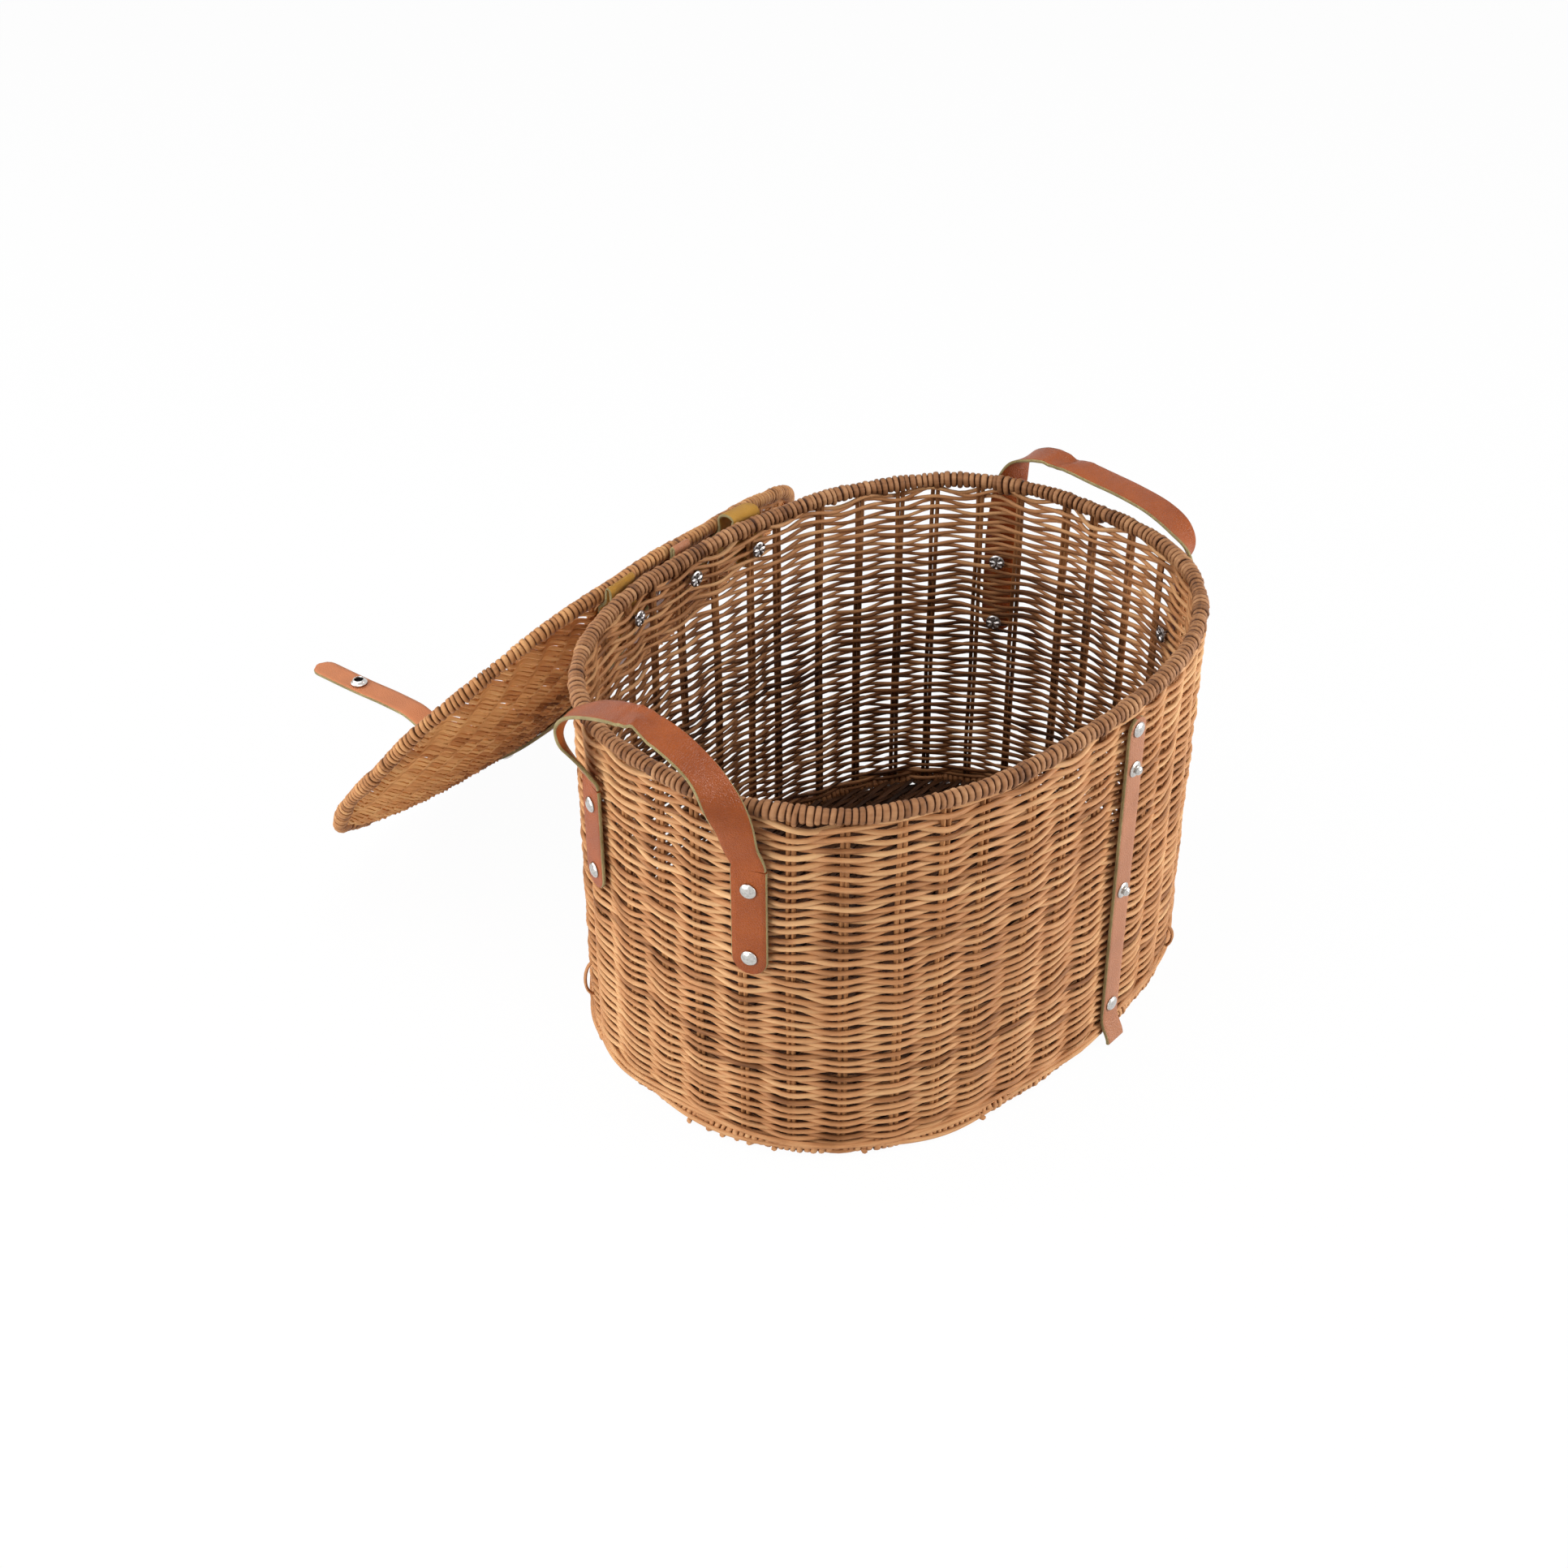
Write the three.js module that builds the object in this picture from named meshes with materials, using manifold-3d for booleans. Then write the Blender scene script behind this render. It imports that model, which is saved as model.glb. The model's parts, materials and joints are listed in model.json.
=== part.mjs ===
// A lidded storage basket of woven rattan with leather handles, hinges and a snap closure.
// Millimetres, +Z up. X runs along the basket, -Y is the front with the closure, +Y the hinge side.
// The origin is the centre of the flat underside. The lid is shown thrown open, its front edge on the floor.
import * as THREE from "three";
import { mergeVertices } from "three/addons/utils/BufferGeometryUtils.js";
import Module from "manifold-3d";

// Clearances
const seatGap = 0.3; // between pieces that touch
const holeGap = 0.4; // round a rivet's shank
const snapGap = 0.5; // round the snap stud in its socket
const ringEase = 1.3; // slack of the lid strap where it bends over the lid's ring

// Oval of the basket, measured on the rim's centreline
const halfLength = 200;
const halfWidth = 152.4;
const ovalPower = 2.42;

// Woven body
const rimHeight = 245.7;
const rimRadius = 5.2;
const baseRingRadius = 5;
const baseMatThickness = 6;
const weaverThickness = 3.4;
const weaveSwing = 2.1;
const weaveRows = 12;
const stakeCount = 40;

// Lid
const lidRingRadius = 4.8;
const lidMatThickness = 4;
const lidCrown = 24.5;
const lidCrownPower = 0.65;
const lidRelief = 1;

// Lid hinge: a line behind and above the back rim, a little out of square as the hand-set leathers are
const hingeBack = 11.3;
const hingeUp = 8.9;
const hingeCentre = -11;
const hingeSkew = 6.3;

// Leather
const strapThickness = 2.2;
const hingeThickness = 2;
const handleWidth = 21.5;
const closureWidth = 16.5;
const hingeWidth = 24;
const narrowHingeWidth = 15;
const hingeSpacing = 56.5;
const hingeMiddle = -23;
const hingeWallLeg = 32;
const narrowHingeWallLeg = 24;
const hingeRivetRise = 0.68;
const hingeLidLeg = 36;

// Handles: two riveted tabs on each end wall and a loop between them
const handleTabLength = 73;
const handleUpperRivet = 14;
const handleLowerRivet = 61;
const handleLidClearance = 2.2;
const leftHandle = {
  hand: "left",
  side: -1,
  middle: -5,
  halfSpan: 59,
  foldDrop: 37.7,
  rise: 82,
  shape: [
    { span: 1, out: 0, lift: 0 },
    { span: 0.98, out: 0.15, lift: 0.16 },
    { span: 0.96, out: 0.55, lift: 0.38 },
    { span: 0.88, out: 0.92, lift: 0.6 },
    { span: 0.72, out: 1, lift: 0.81 },
    { span: 0.44, out: 1, lift: 0.95 },
  ],
};
const rightHandle = {
  hand: "right",
  side: 1,
  middle: 0,
  halfSpan: 70,
  foldDrop: 42.7,
  rise: 57,
  shape: [
    { span: 1, out: 0, lift: 0 },
    { span: 1.01, out: 0.28, lift: 0.16 },
    { span: 1.02, out: 0.75, lift: 0.4 },
    { span: 0.98, out: 1, lift: 0.66 },
    { span: 0.82, out: 1, lift: 0.88 },
    { span: 0.5, out: 1, lift: 0.97 },
  ],
};

// Closure on the front
const frontStrapX = 30;
const frontStrapDrop = 0.5;
const frontStrapFoot = 3;
const frontTopRivet = 8;
const frontBottomRivet = 27;
const upperStudDrop = 27.4;
const lowerStudDrop = 115.7;
const tongueRootX = 12;
const tongueTail = 44;
const tongueSplay = -2;

// Metal fittings
const rivetRadius = 5;
const rivetDome = 2.2;
const rivetShank = 1.5;
const rivetBackRadius = 4.4;
const rivetBackThickness = 1.3;
const studBaseRadius = 5.2;
const studBaseThickness = 1;
const studHeadRadius = 2.9;
const studHeadHeight = 3.5;
const socketRadius = 5.2;
const socketHeight = 3.6;
const socketCap = 1.5;

// Facets
const ringSteps = 72;
const ringSides = 8;
const roundSteps = 9;

// Values worked out from the sizes above
const up = new THREE.Vector3(0, 0, 1);
const wallFace = weaveSwing + weaverThickness / 2;
const wallTop = rimHeight - rimRadius - seatGap;
const wallFoot = 2 * baseRingRadius + seatGap;
const lidRingHeight = rimHeight + rimRadius + seatGap + lidRingRadius;
const strapSeat = seatGap + strapThickness / 2;

// Finishes
const rattan = new THREE.MeshStandardMaterial({ color: 0xb98a5c, roughness: 0.62, metalness: 0 });
const caneBinding = new THREE.MeshStandardMaterial({ color: 0xb07c52, roughness: 0.55, metalness: 0 });
const leather = new THREE.MeshStandardMaterial({ color: 0xb2643e, roughness: 0.5, metalness: 0 });
const suede = new THREE.MeshStandardMaterial({ color: 0xc0913a, roughness: 0.9, metalness: 0 });
const nickel = new THREE.MeshStandardMaterial({ color: 0xc9c6c0, roughness: 0.25, metalness: 1 });

const wasm = await Module();
wasm.setup();

// Oval plan curve, with an outward offset
class PlanOval extends THREE.Curve {
  constructor(offset, height) {
    super();
    this.offset = offset;
    this.height = height;
  }

  getPoint(u, target = new THREE.Vector3()) {
    const angle = 2 * Math.PI * u;
    const reach = ovalReach(Math.cos(angle), Math.sin(angle));
    const x = reach * Math.cos(angle);
    const y = reach * Math.sin(angle);
    const out = ovalNormal(x, y);
    return target.set(x + out.x * this.offset, y + out.y * this.offset, this.height);
  }
}

function ovalReach(cosine, sine) {
  const across = Math.abs(cosine / halfLength) ** ovalPower + Math.abs(sine / halfWidth) ** ovalPower;
  return across ** (-1 / ovalPower);
}

function ovalNormal(x, y) {
  const alongX = (Math.sign(x) * Math.abs(x / halfLength) ** (ovalPower - 1)) / halfLength;
  const alongY = (Math.sign(y) * Math.abs(y / halfWidth) ** (ovalPower - 1)) / halfWidth;
  return new THREE.Vector3(alongX, alongY, 0).normalize();
}

// A place on the rim's line at one x on a long side, or at one y on an end, with its outward and sideways directions
function sidePlace(x, side) {
  const y = side * halfWidth * (1 - Math.abs(x / halfLength) ** ovalPower) ** (1 / ovalPower);
  return rimPlace(x, y);
}

function endPlace(y, side) {
  const x = side * halfLength * (1 - Math.abs(y / halfWidth) ** ovalPower) ** (1 / ovalPower);
  return rimPlace(x, y);
}

function rimPlace(x, y) {
  const out = ovalNormal(x, y);
  const sideways = new THREE.Vector3().crossVectors(up, out);
  const at = (offset, height) => new THREE.Vector3(x, y, height).addScaledVector(out, offset);
  return { out, sideways, at };
}

// Geometry from a run of sections with equal point counts, closed round on itself or capped at both ends.
// Each four-sided face is split on one diagonal, or on the other one where the crossed test says so
function loft(sections, closed, crossed = () => false) {
  const count = sections[0].length;
  const position = sections.flat().flatMap((p) => [p.x, p.y, p.z]);
  const index = [];
  const spans = closed ? sections.length : sections.length - 1;
  for (let i = 0; i < spans; i++) {
    const near = i * count;
    const far = ((i + 1) % sections.length) * count;
    for (let k = 0; k < count; k++) {
      const next = (k + 1) % count;
      if (crossed(i, k)) {
        index.push(near + k, near + next, far + k, near + next, far + next, far + k);
      } else {
        index.push(near + k, near + next, far + next, near + k, far + next, far + k);
      }
    }
  }
  if (!closed) {
    const last = (sections.length - 1) * count;
    for (let k = 1; k < count - 1; k++) {
      index.push(0, k + 1, k, last, last + k, last + k + 1);
    }
  }
  const geometry = new THREE.BufferGeometry();
  geometry.setAttribute("position", new THREE.Float32BufferAttribute(position, 3));
  geometry.setIndex(index);
  return facingOut(geometry);
}

function facingOut(geometry) {
  const p = geometry.getAttribute("position");
  const index = geometry.getIndex().array;
  const [a, b, c] = [new THREE.Vector3(), new THREE.Vector3(), new THREE.Vector3()];
  let volume = 0;
  for (let i = 0; i < index.length; i += 3) {
    a.fromBufferAttribute(p, index[i]);
    b.fromBufferAttribute(p, index[i + 1]);
    c.fromBufferAttribute(p, index[i + 2]);
    volume += a.dot(b.cross(c));
  }
  if (volume < 0) {
    geometry.setIndex(Array.from(index).reverse());
  }
  return geometry;
}

// Closed tube of round section along the oval
function ovalTube(radius, height) {
  const line = new PlanOval(0, height).getSpacedPoints(ringSteps).slice(0, ringSteps);
  const sections = line.map((centre) => {
    const out = ovalNormal(centre.x, centre.y);
    return Array.from({ length: ringSides }, (_, k) => {
      const turn = (2 * Math.PI * (k + 0.5)) / ringSides;
      const reach = radius / Math.cos(Math.PI / ringSides);
      const point = centre.clone().addScaledVector(out, reach * Math.cos(turn));
      return point.addScaledVector(up, reach * Math.sin(turn));
    });
  });
  return loft(sections, true);
}

// Leather strip of rectangular section: each station has a centre, a width direction and a width,
// and a heading where its section is square to something other than the run of the centres
function strip(stations, thickness) {
  const centres = stations.map((s) => s.centre);
  const sections = stations.map(({ centre, across, width, heading }, i) => {
    const before = centres[Math.max(i - 1, 0)];
    const after = centres[Math.min(i + 1, centres.length - 1)];
    const along = heading ?? new THREE.Vector3().subVectors(after, before).normalize();
    const side = across.clone().addScaledVector(along, -across.dot(along)).normalize();
    const face = new THREE.Vector3().crossVectors(along, side);
    const corner = (w, t) =>
      centre.clone().addScaledVector(side, (w * width) / 2).addScaledVector(face, (t * thickness) / 2);
    return [corner(-1, -1), corner(1, -1), corner(1, 1), corner(-1, 1)];
  });
  return loft(sections, false);
}

// Distances from a round strap end, with the share of the full width that the outline has there
function roundEnd(width) {
  return [20, 45, 70, 90].map((degrees) => {
    const turn = THREE.MathUtils.degToRad(degrees);
    return { distance: (width / 2) * (1 - Math.cos(turn)), share: Math.sin(turn) };
  });
}

// Solids for cutting
function solid(geometry) {
  const bare = geometry.clone();
  bare.deleteAttribute("normal");
  bare.deleteAttribute("uv");
  const merged = mergeVertices(bare, 1e-4);
  return new wasm.Manifold(
    new wasm.Mesh({
      numProp: 3,
      vertProperties: new Float32Array(merged.getAttribute("position").array),
      triVerts: new Uint32Array(merged.getIndex().array),
    }),
  );
}

function geometryOf(body) {
  const mesh = body.getMesh();
  const geometry = new THREE.BufferGeometry();
  geometry.setAttribute("position", new THREE.BufferAttribute(mesh.vertProperties, 3));
  geometry.setIndex(new THREE.BufferAttribute(mesh.triVerts, 1));
  return geometry;
}

function drilled(geometry, fittings, depth) {
  let body = solid(geometry);
  for (const { point, direction } of fittings) {
    const drill = new THREE.CylinderGeometry(
      rivetShank + holeGap,
      rivetShank + holeGap,
      depth,
      ringSides,
    );
    drill.applyQuaternion(aim(direction));
    drill.translate(point.x, point.y, point.z);
    body = body.subtract(solid(drill));
  }
  return geometryOf(body);
}

// Lathe pieces stand on +Y, so they are turned to the direction that their cap faces
function aim(direction) {
  return new THREE.Quaternion().setFromUnitVectors(new THREE.Vector3(0, 1, 0), direction);
}

function lathe(profile) {
  return new THREE.LatheGeometry(
    profile.map(([radius, height]) => new THREE.Vector2(radius, height)),
    roundSteps,
  );
}

// A set rivet: domed cap on the leather, shank through the stack, flat back behind it
function rivetShape(stack) {
  const back = -stack - 2 * seatGap;
  return lathe([
    [0, back - rivetBackThickness],
    [0.9 * rivetBackRadius, back - rivetBackThickness],
    [rivetBackRadius, back - 0.4 * rivetBackThickness],
    [rivetBackRadius, back],
    [rivetShank, back],
    [rivetShank, 0],
    [rivetRadius, 0],
    [0.94 * rivetRadius, 0.45 * rivetDome],
    [0.6 * rivetRadius, 0.85 * rivetDome],
    [0, rivetDome],
  ]);
}

// Male snap: a post in the strap, a flat base on it and a ball head
function studShape() {
  return lathe([
    [0, -strapThickness],
    [rivetShank, -strapThickness],
    [rivetShank, 0],
    [studBaseRadius, 0],
    [0.85 * studBaseRadius, studBaseThickness],
    [0.75 * studHeadRadius, studBaseThickness],
    [studHeadRadius, studBaseThickness + 0.55 * studHeadHeight],
    [0.7 * studHeadRadius, studBaseThickness + 0.9 * studHeadHeight],
    [0, studBaseThickness + studHeadHeight],
  ]);
}

// Female snap: cap on the outer face, post through the leather and an open ring on the inner face
function socketShape() {
  const inner = -strapThickness - 2 * seatGap;
  const mouth = studHeadRadius + snapGap;
  return lathe([
    [0, inner],
    [mouth, inner - 0.2 * socketHeight],
    [mouth, inner - socketHeight],
    [0.92 * socketRadius, inner - socketHeight],
    [socketRadius, inner - 0.3 * socketHeight],
    [socketRadius, inner],
    [rivetShank, inner],
    [rivetShank, 0],
    [rivetRadius, 0],
    [0.94 * rivetRadius, 0.45 * socketCap],
    [0.6 * rivetRadius, 0.85 * socketCap],
    [0, socketCap],
  ]);
}

const basket = new THREE.Group();
const lid = new THREE.Group();
const part = new THREE.Group();
part.add(basket, lid);

function add(parent, name, geometry, material) {
  const mesh = new THREE.Mesh(geometry, material);
  mesh.name = name;
  parent.add(mesh);
  return mesh;
}

function addFitting(parent, name, shape, { point, direction }) {
  const mesh = add(parent, name, shape, nickel);
  mesh.position.copy(point);
  mesh.quaternion.copy(aim(direction));
  return mesh;
}

// Lid hinge and the angle at which the open lid's front edge meets the floor
const hingePoint = new THREE.Vector3(hingeCentre, halfWidth + hingeBack, rimHeight + hingeUp);
const hingeAxis = new THREE.Vector3(1, 0, 0).applyAxisAngle(up, THREE.MathUtils.degToRad(hingeSkew));

function lidTurn(degrees) {
  const turn = new THREE.Matrix4().makeRotationAxis(hingeAxis, THREE.MathUtils.degToRad(degrees));
  const back = new THREE.Matrix4().makeTranslation(hingePoint.x, hingePoint.y, hingePoint.z);
  const away = new THREE.Matrix4().makeTranslation(-hingePoint.x, -hingePoint.y, -hingePoint.z);
  return back.multiply(turn).multiply(away);
}

function restingAngle() {
  const line = new PlanOval(0, lidRingHeight).getPoints(ringSteps * 2);
  const reach = lidRingRadius / Math.cos(Math.PI / ringSides);
  const strapReach = reach + strapSeat + strapThickness / 2;
  const underStrap = [-1, 1].map((side) =>
    sidePlace(tongueRootX + (side * closureWidth) / 2, -1).at(0, lidRingHeight),
  );
  const lowest = (points, turn) => Math.min(...points.map((p) => p.clone().applyMatrix4(turn).z));
  let lifted = -200;
  let sunk = -268;
  for (let i = 0; i < 50; i++) {
    const middle = (lifted + sunk) / 2;
    const turn = lidTurn(middle);
    const clearance = Math.min(lowest(line, turn) - reach, lowest(underStrap, turn) - strapReach);
    if (clearance > seatGap) {
      lifted = middle;
    } else {
      sunk = middle;
    }
  }
  return lifted;
}

const openAngle = restingAngle();
const openLid = lidTurn(openAngle);
lid.applyMatrix4(openLid);

// Handle tabs and their rivets
const wallFittings = [];
const tabStack = 2 * wallFace + seatGap + strapThickness;
const wallDrill = 4 * tabStack;
const strapDrill = 4 * strapThickness;

function fitting(place, offset, height) {
  return { point: place.at(offset, height), direction: place.out };
}

function addTab(name, place, foldHeight) {
  const foot = foldHeight - handleTabLength;
  const levels = roundEnd(handleWidth).map(({ distance, share }) => ({
    height: foot + distance,
    width: share * handleWidth,
  }));
  levels.push({ height: foldHeight - seatGap, width: handleWidth });
  const stations = levels.map(({ height, width }) => ({
    centre: place.at(wallFace + strapSeat, height),
    across: place.sideways,
    width,
  }));
  const cap = wallFace + 2 * seatGap + strapThickness;
  const fittings = [handleUpperRivet, handleLowerRivet].map((drop) =>
    fitting(place, cap, foldHeight - drop),
  );
  add(basket, name, drilled(strip(stations, strapThickness), fittings, strapDrill), leather);
  fittings.forEach((f, i) => {
    addFitting(basket, `${name}_rivet_${i ? "lower" : "upper"}`, rivetShape(tabStack), f);
  });
  wallFittings.push(...fittings);
}

// Handle loop: rises from the folds, stands off the wall beyond the lid's edge and twists to lie flat on top
function addHandle({ hand, side, middle, halfSpan, foldDrop, rise, shape }) {
  const foldHeight = rimHeight - foldDrop;
  const ends = [middle - halfSpan, middle + halfSpan];
  addTab(`${hand}_tab_front`, endPlace(ends[0], side), foldHeight);
  addTab(`${hand}_tab_back`, endPlace(ends[1], side), foldHeight);
  const standoff = lidRingRadius + handleLidClearance + handleWidth / 2;
  const low = wallFace + strapSeat;
  const knot = ({ span, out, lift }, sign) => {
    const place = endPlace(middle + sign * span * halfSpan, side);
    return place.at(low + out * (standoff - low), foldHeight + seatGap + lift * rise);
  };
  const points = [
    ...shape.map((k) => knot(k, -1)),
    knot({ span: 0, out: 1, lift: 1 }, 1),
    ...shape.toReversed().map((k) => knot(k, 1)),
  ];
  const path = new THREE.CatmullRomCurve3(points, false, "centripetal");
  const steps = 36;
  const stations = path.getSpacedPoints(steps).map((centre, i) => {
    const share = 1 - Math.abs((2 * i) / steps - 1);
    const sign = i < steps / 2 ? -1 : 1;
    const place = endPlace(THREE.MathUtils.clamp(centre.y, ends[0], ends[1]), side);
    const twist = (Math.PI / 2) * THREE.MathUtils.smoothstep(share, 0.12, 0.62);
    const across = place.sideways.clone().multiplyScalar(sign * Math.sign(place.sideways.y) * Math.cos(twist));
    across.addScaledVector(place.out, -Math.sin(twist));
    const heading = share === 0 ? up.clone().multiplyScalar(-sign) : undefined;
    return { centre, across, width: handleWidth, heading };
  });
  add(part, `${hand}_handle`, strip(stations, strapThickness), leather);
}

addHandle(leftHandle);
addHandle(rightHandle);

// Front strap with its rivets and the two male snaps
const front = sidePlace(frontStrapX, -1);
const strapOut = wallFace + strapSeat;
const ringOut = baseRingRadius / Math.cos(Math.PI / ringSides) + strapSeat;
const strapTop = wallTop - frontStrapDrop;
const frontLevels = [
  ...roundEnd(closureWidth).map(({ distance, share }) => ({
    height: strapTop - distance,
    offset: strapOut,
    width: share * closureWidth,
  })),
  { height: wallFoot + 2 * baseRingRadius, offset: strapOut, width: closureWidth },
  { height: wallFoot, offset: strapOut + 0.7 * (ringOut - strapOut), width: closureWidth },
  { height: baseRingRadius, offset: ringOut, width: closureWidth },
  { height: frontStrapFoot, offset: ringOut, width: closureWidth },
];
const frontFace = wallFace + 2 * seatGap + strapThickness;
const frontRivets = [strapTop - frontTopRivet, frontBottomRivet].map((h) => fitting(front, frontFace, h));
const studs = [upperStudDrop, lowerStudDrop].map((drop) =>
  fitting(front, frontFace, strapTop - frontTopRivet - drop),
);
const frontStrip = strip(
  frontLevels.map(({ height, offset, width }) => ({
    centre: front.at(offset, height),
    across: front.sideways,
    width,
  })),
  strapThickness,
);
add(basket, "front_strap", drilled(frontStrip, [...frontRivets, ...studs], strapDrill), leather);
addFitting(basket, "front_rivet_top", rivetShape(tabStack), frontRivets[0]);
addFitting(basket, "front_rivet_bottom", rivetShape(tabStack), frontRivets[1]);
addFitting(basket, "snap_stud_upper", studShape(), studs[0]);
addFitting(basket, "snap_stud_lower", studShape(), studs[1]);
wallFittings.push(...frontRivets);

// Lid's domed top, in the closed lid's own place
const matEdge = lidRingRadius / Math.cos(Math.PI / ringSides) + seatGap;

function ovalShare(x, y) {
  const across =
    Math.abs(x / (halfLength - matEdge)) ** ovalPower + Math.abs(y / (halfWidth - matEdge)) ** ovalPower;
  return across ** (1 / ovalPower);
}

function domeTop(x, y) {
  const share = Math.min(ovalShare(x, y), 1);
  return lidRingHeight + lidMatThickness / 2 + lidCrown * (1 - share * share) ** lidCrownPower;
}

function onDome(x, y, offset) {
  const step = 0.5;
  const slopeX = (domeTop(x + step, y) - domeTop(x - step, y)) / (2 * step);
  const slopeY = (domeTop(x, y + step) - domeTop(x, y - step)) / (2 * step);
  const out = new THREE.Vector3(-slopeX, -slopeY, 1).normalize();
  return { point: new THREE.Vector3(x, y, domeTop(x, y)).addScaledVector(out, offset), direction: out };
}

// Lid mat: its face is let in at every other crossing, above and below turn about
function lidMat() {
  const around = ringSteps;
  const rings = [1, 0.985, 0.94, 0.86, 0.7, 0.48, 0.24];
  const outline = new PlanOval(0, 0).getSpacedPoints(around).slice(0, around);
  const shrinkX = 1 - matEdge / halfLength;
  const shrinkY = 1 - matEdge / halfWidth;
  const position = [];
  const index = [];
  const level = (share) => lidCrown * (1 - share * share) ** lidCrownPower;
  for (const layer of [0.5, -0.5]) {
    rings.forEach((share, ring) => {
      outline.forEach((p, k) => {
        const over = (ring + Math.floor(k / 2)) % 2 === 0;
        const letIn = ring > 0 && over === layer > 0 ? lidRelief * Math.sign(layer) : 0;
        const height = lidRingHeight + layer * lidMatThickness + level(share) - letIn;
        position.push(p.x * share * shrinkX, p.y * share * shrinkY, height);
      });
    });
    position.push(0, 0, lidRingHeight + layer * lidMatThickness + level(0));
  }
  const layerCount = rings.length * around + 1;
  for (let layer = 0; layer < 2; layer++) {
    const start = layer * layerCount;
    for (let r = 0; r < rings.length; r++) {
      for (let k = 0; k < around; k++) {
        const next = (k + 1) % around;
        const a = start + r * around + k;
        const b = start + r * around + next;
        const c = r + 1 < rings.length ? start + (r + 1) * around + next : start + layerCount - 1;
        const d = start + (r + 1) * around + k;
        const faces = r + 1 < rings.length ? [a, b, c, a, c, d] : [a, b, c];
        index.push(...(layer ? faces.toReversed() : faces));
      }
    }
  }
  for (let k = 0; k < around; k++) {
    const next = (k + 1) % around;
    index.push(k, layerCount + next, next, k, layerCount + k, layerCount + next);
  }
  const geometry = new THREE.BufferGeometry();
  geometry.setAttribute("position", new THREE.Float32BufferAttribute(position, 3));
  geometry.setIndex(index);
  return facingOut(geometry);
}

// Leather hinges: up the outside of the wall, over the gap between the rims and on to the lid's outside
const lidFittings = [];
const hingeSeat = seatGap + hingeThickness / 2;

function addHinge(name, x, width, wallLeg) {
  const place = sidePlace(x, 1);
  const rimOut = rimRadius / Math.cos(Math.PI / ringSides) + hingeSeat;
  const wallOut = wallFace + hingeSeat;
  const legFoot = rimHeight - wallLeg;
  const ringReach = lidRingRadius / Math.cos(Math.PI / ringSides) + hingeSeat;
  const onRing = (degrees) => {
    const turn = THREE.MathUtils.degToRad(degrees);
    const point = place.at(ringReach * Math.cos(turn), lidRingHeight + ringReach * Math.sin(turn));
    return point.applyMatrix4(openLid);
  };
  const inward = (distance) => {
    const flat = place.at(-distance, 0);
    return onDome(flat.x, flat.y, hingeSeat);
  };
  const onLid = (distance) => inward(distance).point.applyMatrix4(openLid);
  const lidSide = onRing(48);
  const wallSide = place.at(rimOut, rimHeight + 0.6 * rimRadius);
  const crown = wallSide.clone().lerp(lidSide, 0.5);
  crown.z = Math.max(wallSide.z, lidSide.z) + 0.9 * rimRadius;
  const shoulder = (from) => new THREE.Vector3(
    from.x + 0.15 * (crown.x - from.x),
    from.y + 0.15 * (crown.y - from.y),
    from.z + 0.7 * (crown.z - from.z),
  );
  const points = [
    place.at(wallOut, wallTop - 0.9 * rimRadius),
    place.at(wallOut + 0.5 * (rimOut - wallOut), wallTop + 0.1 * rimRadius),
    place.at(rimOut, rimHeight - 0.3 * rimRadius),
    wallSide,
    shoulder(wallSide),
    crown,
    shoulder(lidSide),
    lidSide,
    onRing(72),
    onRing(96),
    ...[1.7, 2.4, 3.4, 5].map((share) => onLid(share * lidRingRadius)),
    onLid(hingeLidLeg),
  ];
  const bendSteps = 40;
  const bend = new THREE.CatmullRomCurve3(points, false, "centripetal").getPoints(bendSteps);
  const lidAcross = place.sideways.clone().transformDirection(openLid);
  const ends = roundEnd(width);
  const wallStations = ends.map(({ distance, share }) => ({
    centre: place.at(wallOut, legFoot + distance),
    across: place.sideways,
    width: share * width,
  }));
  const bendStations = bend.map((centre, i) => ({
    centre,
    across: place.sideways.clone().lerp(lidAcross, THREE.MathUtils.smoothstep(i / bendSteps, 0.2, 0.45)),
    width,
  }));
  const wallRivet = fitting(place, wallOut + hingeThickness / 2 + seatGap, legFoot + hingeRivetRise * width);
  const lidRivet = inward(hingeLidLeg - 0.6 * narrowHingeWidth);
  lidRivet.point.addScaledVector(lidRivet.direction, hingeThickness / 2 + seatGap);
  const lidRivetOpen = {
    point: lidRivet.point.clone().applyMatrix4(openLid),
    direction: lidRivet.direction.clone().transformDirection(openLid),
  };
  const leatherStrip = strip([...wallStations, ...bendStations], hingeThickness);
  add(part, name, drilled(leatherStrip, [wallRivet, lidRivetOpen], strapDrill), suede);
  addFitting(basket, `${name}_wall_rivet`, rivetShape(tabStack), wallRivet);
  addFitting(lid, `${name}_lid_rivet`, rivetShape(hingeThickness + lidMatThickness + 2 * seatGap), lidRivet);
  wallFittings.push(wallRivet);
  lidFittings.push(lidRivet);
}

addHinge("hinge_left", hingeMiddle - hingeSpacing, hingeWidth, hingeWallLeg);
addHinge("hinge_middle", hingeMiddle, narrowHingeWidth, narrowHingeWallLeg);
addHinge("hinge_right", hingeMiddle + hingeSpacing, hingeWidth, hingeWallLeg);

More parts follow.
